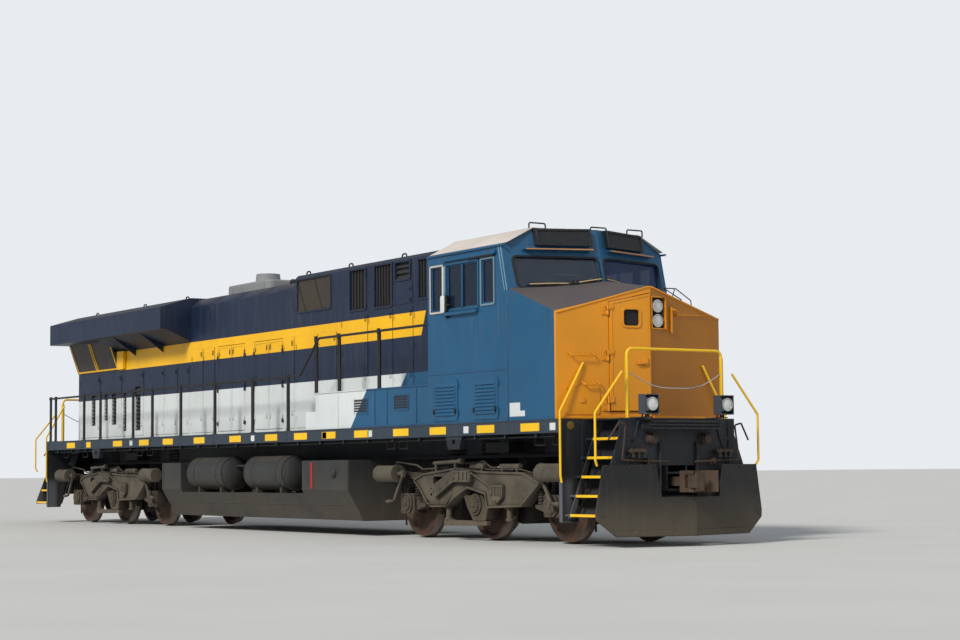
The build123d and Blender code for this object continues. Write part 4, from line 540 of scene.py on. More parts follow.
def wheel_steel():
    """Rust on the web, bright steel where the wheel runs."""
    finish = Finish("wheel_steel", (70, 54, 44), 0.75, 0.2)
    finish.layer(RUST, finish.noise(14, 0.4, 0.65), strength=0.45)
    finish.layer(SOOT_AND_SHADE, finish.noise(5, 0.4, 0.7), strength=0.45)
    flat = finish.rise(finish.size(finish.face_y), 0.35, 0.2)
    tread = finish.within(finish.width, 0.70, 0.82, 0.006)
    finish.film((112, 104, 96), 1.0, -0.3, flat, tread)
    # Painted shade on the inner parts of the wheelset, under the body
    finish.layer(SOOT_AND_SHADE, finish.rise(finish.width, 0.66, 0.6), strength=0.7)
    finish.bump(finish.noise(60, 0.2, 0.8), 0.0015, 0.5)
    return finish.made()


def cast_iron(name, colour, low_dust, shade_depth=0.0):
    """Grimy castings, with painted shade that makes them darker the deeper they lie behind the outer faces
    and in their recesses.
    """
    finish = Finish(name, colour, 0.78)
    finish.layer(RUST, finish.noise(9, 0.45, 0.7), strength=0.2)
    finish.layer(SOOT_AND_SHADE, finish.noise(2.5, 0.4, 0.65), strength=0.45)
    weathered(finish, dust=0.3, low_dust=low_dust, streaks=0.08, wear=0.35, texture=0.9)
    if shade_depth:
        # Painted shade, darker the deeper the part lies behind the outer faces
        finish.layer(SOOT_AND_SHADE, finish.rise(finish.width, 1.14, 0.9), strength=shade_depth)
        # Painted shade in recesses, from ambient occlusion
        near = finish.add("ShaderNodeAmbientOcclusion", {"samples": 6}, Distance=0.16)
        finish.layer(SOOT_AND_SHADE, finish.rise(near.outputs["AO"], 0.92, 0.35), strength=0.9)
    return finish.made()


def window_glass():
    """Smoky glass with a film of dust. The far windshield has a painted reflection of a deeper sky."""
    finish = Finish("window_glass", (22, 40, 62), 0.04)
    far = finish.rise(finish.y, -0.01, 0.01)
    finish.layer((8, 48, 98), far, finish.rise(finish.x, 8.3, 8.35))
    finish.layer(DUST, finish.noise(3, 0.4, 0.8), strength=0.05)
    finish.rougher(finish.noise(6, 0.3, 0.8), 0.05)
    finish.shader.inputs["Alpha"].default_value = 0.62
    finish.shader.inputs["Specular IOR Level"].default_value = 0.8
    return finish.made()


def make_paints():
    indoors = {"wear": 0.0, "streaks": 0.0}
    grimy = {"dust": 0.2, "low_dust": 0.16, "streaks": 0.1}
    return {
        "hood": hood_paint(),
        "nose": nose_paint(),
        "cab": cab_paint(),
        "trim": trim_paint(),
        "lamps": lamp_paint(),
        "fittings": fittings_paint(),
        "blue": plain_paint("blue_paint", BLUE, 0.38),
        "navy": plain_paint("navy_paint", NAVY, 0.4),
        "gold": plain_paint("gold_paint", GOLD_IN_SHADE, 0.38, dust=0.1, streaks=0.08),
        "yellow": plain_paint("yellow_paint", (248, 196, 24), 0.45, dust=0.15, wear=0.35),
        "white": plain_paint("white_paint", WHITE, 0.45),
        "slate": frame_paint(),
        "black": plain_paint("black_paint", (20, 23, 29), 0.5, dust=0.15, streaks=0.05),
        "plow": plow_paint(),
        "tank": plain_paint("tank_grey", (47, 50, 50), 0.6, **grimy),
        "roof": plain_paint("roof_pale", (218, 208, 200), 0.7, dust=0.12),
        "silver": plain_paint("silencer_grey", (134, 136, 138), 0.6, streaks=0.3),
        "grille": grille_paint(),
        "iron": cast_iron("truck_iron", (84, 80, 70), 0.22, 0.8),
        "box_iron": cast_iron("axle_box_iron", (64, 60, 53), 0.2, 0.8),
        "coupler": cast_iron("coupler_iron", (72, 56, 44), 0.15),
        "wheel": wheel_steel(),
        "engine": cast_iron("engine_iron", (96, 100, 98), 0.0),
        "glass": window_glass(),
        "rubber": plain_paint("rubber", (20, 20, 22), 0.8, dust=0.2, **indoors),
        "chrome": plain_paint("bright_metal", (200, 200, 198), 0.2, 0.95, wear=0.0),
        "seat": plain_paint("seat_vinyl", (38, 38, 42), 0.6, **indoors),
        "desk": plain_paint("desk_grey", (92, 94, 96), 0.6, wear=0.1, streaks=0.0),
        "tan": plain_paint("tan_metal", (196, 172, 128), 0.5, wear=0.1, streaks=0.0),
        # Pale blue of the painted highlight on the cab's front corners
        "sky": plain_paint("corner_highlight_blue", (122, 160, 182), 0.5, wear=0.1, streaks=0.05),
        "red": plain_paint("red_paint", (176, 30, 28), 0.45),
        "olive": plain_paint("olive_paint", (110, 92, 14), 0.45),
    }


def dress_nodes():
    """Gives every node of the frame its finish."""
    chosen = {
        "underframe": "slate", "front_end": "slate", "rear_end": "slate", "front_plow": "plow",
        "fuel_tank": "tank", "air_reservoirs": "tank", "nose_shell": "nose", "nose_door": "nose",
        "cab_shell": "cab", "cab_roof": "blue", "cab_glass": "glass", "cab_door_left": "blue",
        "cab_door_right": "blue", "cab_seats": "seat", "control_desk": "desk",
        "number_boards": "black", "lamps": "lamps", "intake_grilles": "grille",
        "engine_block": "engine", "silencer": "silver", "horn": "black", "end_railings": "yellow",
        "step_rails": "yellow", "railing_left": "black", "railing_right": "black",
        "cab_trim": "trim", "hood_fittings": "fittings", "end_gear": "coupler",
    }
    groups = (
        ("hood", "hood"), ("radiator_cab", "hood"), ("side_boxes", "hood"), ("wheelset", "wheel"),
        ("axle_boxes", "box_iron"), ("truck", "iron"), ("coupler", "coupler"), ("knuckle", "coupler"),
    )
    for name, made in NODES.items():
        finish = chosen.get(name)
        if finish is None:
            finish = next(paint for word, paint in groups if word in name)
        made.data.materials.clear()
        made.data.materials.append(PAINT[finish])


PAINT = make_paints()
dress_nodes()


# Nose


def on_nose(y, out=0.0):
    """X of the nose's swept front at this Y."""
    return NOSE_TIP - NOSE_SWEEP * abs(y) + out


def on_front(outline, out):
    """Outline in Y and Z, laid on the swept front at this distance."""
    return [(on_nose(y, out), y, z) for y, z in outline]


def nose_details():
    trim = Piece()
    # Rolled top edges, corner beads and the rim of the headlight pocket
    for side in SIDES:
        trim.tube([(on_nose(1.5), side * 1.5, 3.305), (on_nose(0.02), side * 0.02, 3.715)], 0.016, 0)
        trim.tube([(9.712, side * 1.495, DECK + 0.01), (9.712, side * 1.495, 3.3)], 0.017, 0)
    rim = rounded((0.01, 3.10), (0.322, 3.586), 0.02)
    hole = rounded((0.03, 3.122), (0.302, 3.564), 0.02)
    rings = ((rim, -0.01), (rim, 0.018), (hole, 0.018), (hole, -0.01))
    trim.loft([on_front(outline, out) for outline, out in rings], closed=True)
    # Bolts on the fixed hinge plates and the feet of the grab irons
    for low, high in NOSE_HINGES:
        for z in (low + 0.03, (low + high) / 2, high - 0.03):
            trim.bolts([(on_nose(0.765, 0.013), -0.765, z)], AHEAD, 0.011)
    for y, z in ((-1.307, 2.745), (-0.937, 2.745), (-1.104, 2.33), (-0.853, 2.33)):
        trim.lathe((on_nose(y), y, z), AHEAD, [(0, 0.026), (0.01, 0.024)], 10)
    for y, z in ((-1.36, 1.89), (-0.86, 1.89), (-1.36, 2.24), (-0.86, 2.24)):
        trim.bolts([(on_nose(y, 0.012), y, z)], AHEAD, 0.011)
    # Hook and wire on the left half
    trim.tube([(on_nose(0.43, 0.03), 0.43, 3.40), (on_nose(0.43, 0.08), 0.45, 3.40),
               (on_nose(0.54, 0.08), 0.54, 3.36), (on_nose(0.54), 0.54, 3.31)], 0.011, 0.02)
    trim.tube([(on_nose(0.56, 0.012), 0.56, 3.33), (on_nose(1.22, 0.012), 1.22, 3.35)], 0.008, 0)
    trim.done("nose_trim", "gold", 0.003, "nose_yellow")

    leaf = Piece()
    # Pressed border, outer bolts and handle of the door
    edge = [(-0.655, 1.915), (-0.02, 1.915), (-0.02, 3.607), (-0.655, 3.468)]
    lip = [(-0.625, 1.945), (-0.05, 1.945), (-0.05, 3.57), (-0.625, 3.444)]
    rings = ((edge, 0), (edge, 0.008), (lip, 0.005), (lip, 0))
    leaf.loft([on_front(outline, DOOR_PROUD + out) for outline, out in rings], closed=True)
    for low, high in NOSE_HINGES:
        for y in (-0.632, -0.655):
            leaf.bolts([(on_nose(y, DOOR_PROUD + 0.012), y, (low + high) / 2 + 0.03)], AHEAD, 0.009)
    leaf.tube([(on_nose(-0.1, 0.05), -0.1, 2.60), (on_nose(-0.25, 0.055), -0.25, 2.59)], 0.009, 0)
    leaf.done("nose_door_trim", "gold", 0.002, "nose_yellow", "nose_door")

    pane = Piece()
    glass = rounded((-0.444, 3.141), (-0.196, 3.374), 0.045, 5)
    pane.loft([on_front(glass, -0.005), on_front(glass, 0.002)])
    pane.done("nose_door_pane", "rubber", body="nose_door")

    # Little wire rail on the far slope of the top
    wire = Piece()
    wire.tube([(9.86, 0.52, 3.6), (9.88, 0.546, 3.73), (9.82, 0.9, 3.56), (9.8, 0.92, 3.46)], 0.008, 0.03)
    wire.tube([(9.6, 0.52, 3.62), (9.6, 0.546, 3.76), (9.6, 0.9, 3.59), (9.6, 0.92, 3.48)], 0.008, 0.03)
    wire.tube([(9.88, 0.56, 3.72), (9.6, 0.56, 3.75)], 0.008, 0)
    wire.done("nose_top_wire", "black")


def headlamps():
    """Rims round the lenses and the conduits of the ditch lights."""
    rims, wires = Piece(), Piece()
    section = [(0, LENS_RADIUS), (0.014, LENS_RADIUS), (0.014, 0.082), (0, 0.082)]
    for z in (3.23, 3.444):
        rims.lathe((9.936, 0.166, z), AHEAD, section, 24)
    for side in SIDES:
        y = side * DITCH_Y
        rims.lathe((10.851, y, DITCH_Z), AHEAD, section, 24)
        for dy, dz in ((-0.118, 0.128), (0.118, 0.128), (-0.118, -0.133), (0.118, -0.133)):
            rims.bolts([(10.85, y + dy, DITCH_Z + dz)], AHEAD, 0.007, 0.008)
        wires.tube([(10.70, y, 1.93), (10.64, y, 1.90), (10.62, y, 1.81)], 0.011, 0.04)
    for z in (4.18, 4.39):
        rims.lathe((-9.651, 0, z), (-1, 0, 0), section, 24)
    rims.done("lamp_rims", "chrome")
    wires.done("ditch_light_conduits", "rubber")


nose_details()
headlamps()


# Cab


def windshield_x(y, z, out=0.0):
    """X of the swept and leaning windshield plane."""
    top_x, top_z = 8.770, 4.418
    return top_x + WINDSHIELD_LEAN * (top_z - z) - WINDSHIELD_SWEEP * abs(y) + out


def on_windshield(outline, out):
    return [(windshield_x(y, z, out), y, z) for y, z in outline]


def cab_front():
    """Wipers on the windshield, and the beads round the blank number boards."""
    rubber, metal, arms = Piece(), Piece(), Piece()
    for side in SIDES:
        case = [(side * 0.165, 4.421), (side * 0.985, 4.421), (side * 0.985, 4.646), (side * 0.165, 4.665)]
        face = [(side * 0.182, 4.438), (side * 0.968, 4.438), (side * 0.968, 4.63), (side * 0.182, 4.648)]
        rings = ((case, 0.082), (case, 0.092), (face, 0.092), (face, 0.066))
        metal.loft([on_windshield(outline, out) for outline, out in rings], closed=True)
        # Covered pivots with an arm and a blade each way
        for start, end in (((0.545, 3.838), (1.178, 3.815)), ((0.46, 3.850), (0.06, 3.918))):
            pivot = Vector((windshield_x(*start, 0.035), side * start[0], start[1]))
            far = Vector((windshield_x(*end, 0.035), side * end[0], end[1]))
            metal.lathe(pivot - Vector((0.04, 0, 0)), AHEAD, [(0, 0.05), (0.05, 0.045), (0.07, 0.02)], 12)
            arms.tube([pivot, pivot.lerp(far, 0.5) + Vector((0.02, 0, 0.004)), far], 0.011, 0.1, 6)
            blade = Vector((-0.005, 0, 0.016))
            rubber.tube([pivot.lerp(far, 0.3) + blade, far + blade], 0.009, 0, 6)
    rubber.done("wiper_blades", "rubber")
    arms.done("wiper_arms", "tan")
    metal.done("number_board_beads", "black", 0.003)


def cab_sides():
    """Sashes, locks, mirrors and strips of both sides."""
    windows = ((6.417, 6.746, 3.534, 4.229), (6.871, 7.735, 3.543, 4.229), (7.843, 8.168, 3.564, 4.228))
    frames, shell, pale, dark, strips = Piece(), Piece(), Piece(), Piece(), Piece()
    for side in SIDES:

        def out(distance):
            """Y at this distance outside the wall."""
            return side * (CAB_Y + distance)

        for rear_x, front_x, low, high in windows:
            outer = rounded((rear_x, low), (front_x, high), 0.02)
            opening = rounded((rear_x + 0.022, low + 0.022), (front_x - 0.022, high - 0.022), 0.02)
            frames.border(outer, opening, 1, (out(-0.024), out(-0.01)))
        # Sliding sash of the middle window and the blind's roll over it
        frames.box((7.28, 7.31), (out(-0.02), out(0.004)), (3.55, 4.225))
        dark.tube([(7.5, out(0.035), 4.276), (8.2, out(0.035), 4.276)], 0.014, 0, 8)
        shell.box((8.50, 8.515), (out(0), out(0.006)), (1.80, 3.52))
        # Locks and bolts of the louvred doors
        for rear_x, front_x in ((6.473, 7.157), (7.593, 8.253)):
            for x in (rear_x + 0.03, front_x - 0.05):
                lock = [(x - 0.02, 2.02), (x + 0.02, 2.02), (x + 0.012, 1.95), (x - 0.012, 1.95)]
                dark.prism(lock, 1, (out(0.012), out(0.036)))
            for x in (rear_x + 0.03, front_x - 0.03):
                shell.bolts([(x, out(0.012), 1.87), (x, out(0.012), 2.45)], (0, side, 0), 0.009, 0.008)
        # Mirror on its arm and pale wind deflector behind the rear window
        pale.prism(rounded((6.76, 3.50), (6.87, 3.77), 0.03), 1, (out(0.035), out(0.058)))
        pale.box((6.80, 6.825), (out(0), out(0.045)), (3.60, 4.22))
        dark.prism(rounded((6.89, 3.42), (6.925, 3.77), 0.015), 1, (out(0.004), out(0.059)))
        dark.tube([(6.95, out(0), 3.62), (6.92, out(0.045), 3.62), (6.82, out(0.047), 3.62)], 0.010, 0.03, 6)
        # Painted highlight: pale blue strips where light catches the corner between side and windshield
        for shift in (0.0, 0.062):
            low_x = windshield_x(1.5, 3.72) - 0.03 - shift
            high_x = windshield_x(1.5, 4.40) - 0.03 - shift
            strip = [(low_x, 3.72), (low_x + 0.02, 3.72), (high_x + 0.02, 4.39), (high_x, 4.39)]
            strips.prism(strip, 1, (out(0), out(0.008)))
    frames.done("cab_window_sashes", "blue", 0.003, "cab_blue")
    shell.done("cab_side_bolts", "blue", 0.002, "cab_blue")
    pale.done("cab_side_pale_trim", "white", 0.003)
    strips.done("cab_corner_highlight_strips", "sky", 0.002)
    dark.done("cab_side_dark_trim", "black", 0.002)


def cab_top():
    """Pale roof sheet, dome, aerial and grab rails."""
    sheet, dome, rails = Piece(), Piece(), Piece()
    ridge_z, edge_y = 4.681, 1.47
    slope = (ridge_z - 4.420) / (CAB_Y - 1.0)
    rings = []
    for x in (CAB_REAR + 0.02, 8.47):
        ring = []
        for y, lift in ((-edge_y, 0.004), (-1.0, 0.006), (1.0, 0.006), (edge_y, 0.004)):
            ring.append((x, y, ridge_z - max(abs(y) - 1.0, 0) * slope + lift))
        ring += [(x, edge_y, 4.435), (x, 1.0, 4.675), (x, -1.0, 4.675), (x, -edge_y, 4.435)]
        rings.append(ring)
    sheet.loft(rings)
    sheet.done("cab_roof_sheet", "roof", slot="roof_pale")
    dome.lathe((7.9, -0.15, 4.68), UP, [(0, 0.20), (0.05, 0.19), (0.09, 0.14), (0.11, 0.0)], 24)
    dome.done("roof_dome", "roof")
    for y in (-0.95, 0.2, 0.9):
        rails.tube([(8.3, y, 4.68), (8.3, y, 4.78), (8.3, y + 0.3, 4.78), (8.3, y + 0.3, 4.68)], 0.012, 0.03)
    rails.tube([(6.6, 0.4, 4.68), (6.6, 0.4, 4.94)], 0.008, 0)
    rails.box((6.9, 7.3), (0.35, 0.75), (4.68, 4.77))
    rails.done("cab_roof_rails", "black", 0.002)


cab_front()
cab_sides()
cab_top()


# Hood


def hood_small_parts():
    """Hinges and bolts on the fixed doors of the hood, and bolts round the intakes."""
    small = Piece()
    # Doors as rear x, front x, bottom z, top z
    doors = (
        (-9.43, -8.33, 1.87, 3.24), (-8.23, -7.13, 1.87, 3.24), (-7.06, -5.98, 1.87, 3.24),
        (-5.62, -4.94, 1.87, 3.23), (-4.90, -4.30, 1.87, 3.23), (-4.26, -3.74, 1.87, 3.23),
        (-3.60, -3.10, 1.87, 3.53), (-3.06, -2.58, 1.87, 3.53), (0.33, 0.71, 1.87, 3.53),
        (0.80, 1.60, 1.87, 3.53), (1.64, 2.28, 1.87, 3.53), (2.48, 3.36, 2.45, 3.79),
        (3.41, 4.19, 2.45, 3.79), (4.24, 4.84, 2.45, 3.79), (4.89, 6.26, 2.45, 3.79),
        (4.24, 4.84, 3.84, 4.20),
    )
    for rear_x, front_x, low, high in doors:
        for share in (0.12, 0.5, 0.88):
            z = low + share * (high - low)
            for side in SIDES:
                y = side * (HOOD_Y + 0.010)
                small.rod((rear_x - 0.004, y, z - 0.05), (rear_x - 0.004, y, z + 0.05), 0.009, 8)
                small.bolts([(rear_x + 0.03, side * (HOOD_Y + 0.009), z)], (0, side, 0), 0.008, 0.006)
    for rear_x, front_x, low, high in INTAKES:
        for side in SIDES:
            face = side * (HOOD_Y + 0.018)
            count = round((front_x - rear_x) / 0.2)
            spots = []
            for index in range(count + 1):
                x = rear_x + index * (front_x - rear_x) / count
                spots += [(x, face, low - 0.015), (x, face, high + 0.015)]
            for index in range(1, 4):
                z = low + index * (high - low) / 4
                spots += [(rear_x - 0.015, face, z), (front_x + 0.015, face, z)]
            small.bolts(spots, (0, side, 0), 0.006, 0.005)
    small.done("hood_hinges_and_bolts", "hood", slot="hood_navy")


def intake_mesh():
    """Wire over the large intake."""
    wires = Piece()
    rear_x, front_x, low, high = INTAKES[0]
    columns, rows, half = 30, 14, 0.002
    for side in SIDES:
        y = (side * (HOOD_Y - 0.012), side * (HOOD_Y - 0.009))
        for index in range(columns + 1):
            x = rear_x + index * (front_x - rear_x) / columns
            wires.box((x - half, x + half), y, (low, high))
        for index in range(rows + 1):
            z = low + index * (high - low) / rows
            wires.box((rear_x, front_x), y, (z - half, z + half))
    wires.done("intake_wires", "grille", slot="grille_dark")


def hood_top():
    """Flush panels on the bevel and the roof of the engine room, and wires of the fan guards."""
    top, dark = Piece(), Piece()
    bevel = ((0.862, 4.392), (0.728, 4.526), (0.733, 4.531), (0.867, 4.397))
    for side in SIDES:
        for index in range(4):
            x = -3.5 + index * 1.06
            top.prism([(side * y, z) for y, z in bevel], 0, (x + 0.05, x + 0.95))
    for span in ((-3.6, -3.3), (-1.3, -0.9), (0.0, 0.6)):
        top.box(span, (-0.5, 0.5), (4.53, 4.56))
    for x in (-8.7, -7.8, -5.4):
        for index in range(5):
            ring = 0.35 * (index + 1) / 6
            turns = [t * math.tau / 20 for t in range(21)]
            guard = [(x + ring * math.cos(turn), ring * math.sin(turn), 4.625) for turn in turns]
            dark.tube(guard, 0.006, 0, 5)
    top.done("hood_roof_panels", "navy", 0.004, "hood_navy")
    dark.done("fan_guard_wires", "black", slot="horn_dark")


hood_small_parts()
intake_mesh()
hood_top()


# Sill, deck and railings


def sill_marks():
    """Reflectors, blank plates, conduit and joint strip along both sills."""
    yellow, white, dark = Piece(), Piece(), Piece()
    marks = (9.10, 7.95, 6.62, 5.52, 4.27, 3.17, 2.17, 1.07, -0.36, -1.89, -3.31, -4.46, -5.79, -8.34)
    for side in SIDES:
        y = (side * SILL_Y, side * (SILL_Y + 0.004))
        for x in marks:
            yellow.prism(rounded((x - 0.235, 1.634), (x + 0.235, 1.752), 0.008), 1, y)
        yellow.prism(rounded((-7.47, 1.634), (-7.23, 1.752), 0.008), 1, y)
        for x in (9.66, 7.42, 4.55, 3.02, 0.35, -5.1):
            white.prism(rounded((x - 0.07, 1.64), (x + 0.07, 1.745), 0.008), 1, y)
        dark.tube([(9.6, side * 1.44, 1.56), (-9.5, side * 1.44, 1.56)], 0.014, 0)
        for index in range(24):
            x = -9.2 + index * 0.8
            dark.box((x - 0.012, x + 0.012), (side * 1.425, side * 1.5), (1.54, 1.61))
        strip_y = (side * (SILL_Y - 0.004), side * (SILL_Y + 0.006))
        dark.box((-9.8, 9.8), strip_y, (DECK - 0.012, DECK + 0.003))
    yellow.done("sill_reflectors", "yellow")
    white.done("sill_blank_plates", "white")
    dark.done("sill_conduit", "slate")


def railing_feet():
    """Bolts on the posts' feet and clamps where the posts hold the rail."""
    feet = Piece()
    low_posts = (-9.63, -9.33, -7.69, -6.79, -5.08, -4.13, -2.79, -1.28, 0.28, 1.65)
    tall_posts = (2.66, 3.46, 4.78)
    for side in SIDES:
        for x in low_posts:
            feet.rod((x, side * RAIL_Y, 2.70), (x, side * RAIL_Y, 2.79), 0.03)
            feet.bolts([(x + dx, side * 1.5, DECK + 0.012) for dx in (-0.046, 0.046)], UP, 0.01)
            feet.bolts([(x, side * SILL_Y, z) for z in (1.645, 1.73)], (0, side, 0), 0.012, 0.012)
        for x in tall_posts:
            feet.box((x - 0.05, x + 0.05), (side * 1.44, side * 1.5), (2.418, 2.432))
            feet.rod((x, side * RAIL_Y, 3.31), (x, side * RAIL_Y, 3.40), 0.03)
    feet.done("railing_feet", "black", slot="rail_black")


def walkway_plates():
    """Thin plates on the walkways and the platforms."""
    plates = Piece()
    sheet_z = (DECK, DECK + 0.004)
    for side in SIDES:
        y = sorted((side * (HOOD_Y + 0.02), side * 1.44))
        for index in range(12):
            x = -9.4 + index * 0.97
            plates.box((x, x + 0.93), y, sheet_z)
    plates.box((10.0, 10.5), (-0.8, 0.8), sheet_z)
    plates.box((-10.5, -9.7), (-0.8, 0.8), sheet_z)
    plates.done("walkway_plates", "black")


def side_box_details():
    """Vents and hinged lids on the raised boxes behind the cab."""
    panels, dark = Piece(), Piece()
    for side in SIDES:
        y = (side * 1.5, side * 1.51)
        for rear_x, front_x, low, high in ((3.99, 4.41, 2.043, 2.262), (5.28, 5.70, 2.064, 2.288)):
            outer = rounded((rear_x - 0.02, low - 0.02), (front_x + 0.02, high + 0.02), 0.01)
            panels.border(outer, rounded((rear_x, low), (front_x, high), 0.01), 1, y)
            for index in range(5):
                z = low + 0.02 + index * 0.042
                slat = [(side * 1.5, z), (side * 1.512, z), (side * 1.5, z + 0.025)]
                dark.prism(slat, 0, (rear_x, front_x))
        for x in (3.45, 4.66, 5.05, 5.95):
            panels.box((x - 0.004, x + 0.004), y, (1.83, 2.40))
        panels.box((2.66, 6.30), (side * 1.49, side * 1.515), (2.405, 2.425))
    panels.done("side_box_trim", "hood", 0.002, "hood_navy")
    dark.done("side_box_vents", "grille", slot="grille_dark")


sill_marks()
railing_feet()
walkway_plates()
side_box_details()


# Platform ends


def step_details():
    """Bright nosings, perforated treads and the marks on the step wells."""
    nosing, dark, disc = Piece(), Piece(), Piece()
    tread_y, tread_z, run, lift = 1.45, 0.458, 0.104, 0.267
    for side in SIDES:
        for index in range(5):
            outer = tread_y - index * run
            z = tread_z + index * lift
            nosing.box((STRINGER_X, 10.54), (side * outer, side * (outer + 0.008)), (z - 0.034, z + 0.004))
            nosing.box((STRINGER_X, 10.54), (side * (outer - 0.03), side * outer), (z, z + 0.004))
            for row in range(3):
                for column in range(12):
                    spot = (9.86 + column * 0.056, side * (outer - 0.07 - row * 0.065), z)
                    dark.lathe(spot, UP, [(0, 0.018), (0.004, 0.014)], 8)
        disc.lathe((STEP_X, side * 1.319, 1.704), AHEAD, [(0, 0.06), (0.006, 0.06), (0.008, 0.045)], 24)
        # Slanted stringer at the rear ends of the treads
        strip = [(side * 1.475, 0.40), (side * 1.39, 0.40), (side * 0.90, 1.66), (side * 0.985, 1.66)]
        dark.prism(strip, 0, (STRINGER_X - 0.014, STRINGER_X))
        # Edge flange of the step well's panel
        flange_x = (STEP_X - 0.04, STEP_X + 0.03)
        dark.box(flange_x, (side * 1.488, side * 1.503), (0.354, DECK - 0.02))
        dark.box(flange_x, (side * 1.2, side * 1.5), (0.34, 0.356))
    nosing.turned().done("step_nosings", "yellow", slot="step_yellow")
    dark.turned().done("step_treads", "slate", slot="frame_slate")
    disc.turned().done("step_well_discs", "olive")


def end_plate_details():
    """Handles of the end cocks, caps of the sockets, upright bars and the slack chains."""
    bars, cocks, chains = Piece(), Piece(), Piece()
    tap = [(0, 0.02), (0.05, 0.02), (0.07, 0.028), (0.09, 0.028)]
    for side in SIDES:
        for y in (0.69, 0.785, 0.88):
            cocks.box((10.64, 10.70), (side * y - 0.006, side * y + 0.006), (1.355, 1.37))
            cocks.lathe((10.67, side * y, 1.33), (0, 0, -1), tap, 10)
        cocks.box((10.655, 10.665), (side * 0.43, side * 0.53), (1.555, 1.60))
        for k in range(4):
            turn = math.tau * (k + 0.5) / 4
            spot = (10.564, side * 0.48 + 0.084 * math.cos(turn), 1.5 + 0.084 * math.sin(turn))
            cocks.bolts([spot], AHEAD, 0.009, 0.008)
        bars.rod((10.58, side * 0.335, 0.70), (10.58, side * 0.335, 1.46), 0.016)
        for z in (0.75, 1.2, 1.42):
            bars.box((10.55, 10.585), (side * 0.32, side * 0.35), (z - 0.015, z + 0.015))
    bars.turned().done("pilot_plate_bars", "slate")
    cocks.turned().done("end_cock_handles", "iron", 0.002)
    slack = [(10.52, -0.86, 2.45), (10.56, -0.4, 2.22), (10.56, 0.4, 2.22), (10.52, 0.86, 2.45)]
    chains.tube(slack, 0.008, 0.3)
    chains.turned().done("gate_chains", "chrome")


def plow_details():
    """Bolts and the wear plate along the foot of the plough."""
    edge = Piece()
    tip, sweep = 10.95, 0.22
    rows = ((0.62, 1.10), (1.0, 1.10), (1.34, 1.08), (1.40, 0.75), (1.42, 0.45), (0.9, 0.20), (0.4, 0.20))
    for side in SIDES:
        for y, z in rows:
            edge.lathe((tip - sweep * y, side * y, z), (1, side * sweep, 0), [(0, 0.018), (0.014, 0.016)], 6)
        foot = [(tip, side * 0.002, 0.155), (tip - sweep * 1.19, side * 1.19, 0.155),
                (tip - sweep * 1.25, side * 1.25, 0.235), (tip, side * 0.002, 0.235)]
        edge.loft([foot, [(x + 0.008, y, z) for x, y, z in foot]])
    edge.done("plough_bolts_and_foot", "plow", slot="plow_black")


step_details()
end_plate_details()
plow_details()


# Tank


def tank_details():
    """Straps, pipes of the reservoirs, filler necks, seams and sight glasses."""
    bands, pipes, red = Piece(), Piece(), Piece()
    # A strap runs round the outside and back along the tank's skin
    outer = [(1.505, 1.25), (1.505, 0.772), (1.202, 0.254)]
    inner = [(1.198, 0.262), (1.497, 0.775), (1.497, 1.25)]
    strap = [(-y, z) for y, z in outer] + outer[::-1] + inner[::-1] + [(-y, z) for y, z in inner]
    for x in (-3.6, 3.72):
        bands.prism(strap, 0, (x - 0.03, x + 0.03))

    def hoop(x, width, radius):
        """Band round a reservoir."""
        section = [(0, radius), (0, radius + 0.007), (width, radius + 0.007), (width, radius)]
        bands.lathe((x - width / 2, -1.17, 1.068), AHEAD, section, 40)

    for rear_x, front_x in ((-2.62, -0.98), (-0.2, 1.44)):
        for x in (rear_x + 0.35, front_x - 0.35):
            hoop(x, 0.06, 0.311)
        for x in (rear_x + 0.09, front_x - 0.09):
            hoop(x, 0.012, 0.308)
        x = front_x - 0.3
        pipes.tube([(x, -1.17, 0.77), (x, -1.17, 0.73), (x + 0.4, -1.3, 0.73)], 0.014, 0.03)
    pipes.tube([(-0.98, -1.17, 1.2), (-0.6, -1.2, 1.2), (-0.2, -1.17, 1.2)], 0.02, 0.1)
    neck = [(0, 0.07), (0.04, 0.07), (0.05, 0.05), (0.07, 0.05)]
    for side in SIDES:
        pipes.lathe((3.3, side * 1.49, 1.05), (0, side, 0), neck, 16)
        red.box((2.49, 2.55), (side * 1.498, side * 1.512), (0.79, 1.24))
        pipes.tube([(-3.6, side * 1.35, 0.52), (3.7, side * 1.35, 0.52)], 0.008, 0)
    bands.done("tank_straps", "tank", slot="tank_grey")
    pipes.done("tank_pipes", "tank", slot="tank_grey")
    red.done("tank_sight_glass", "red")


tank_details()


# Trucks


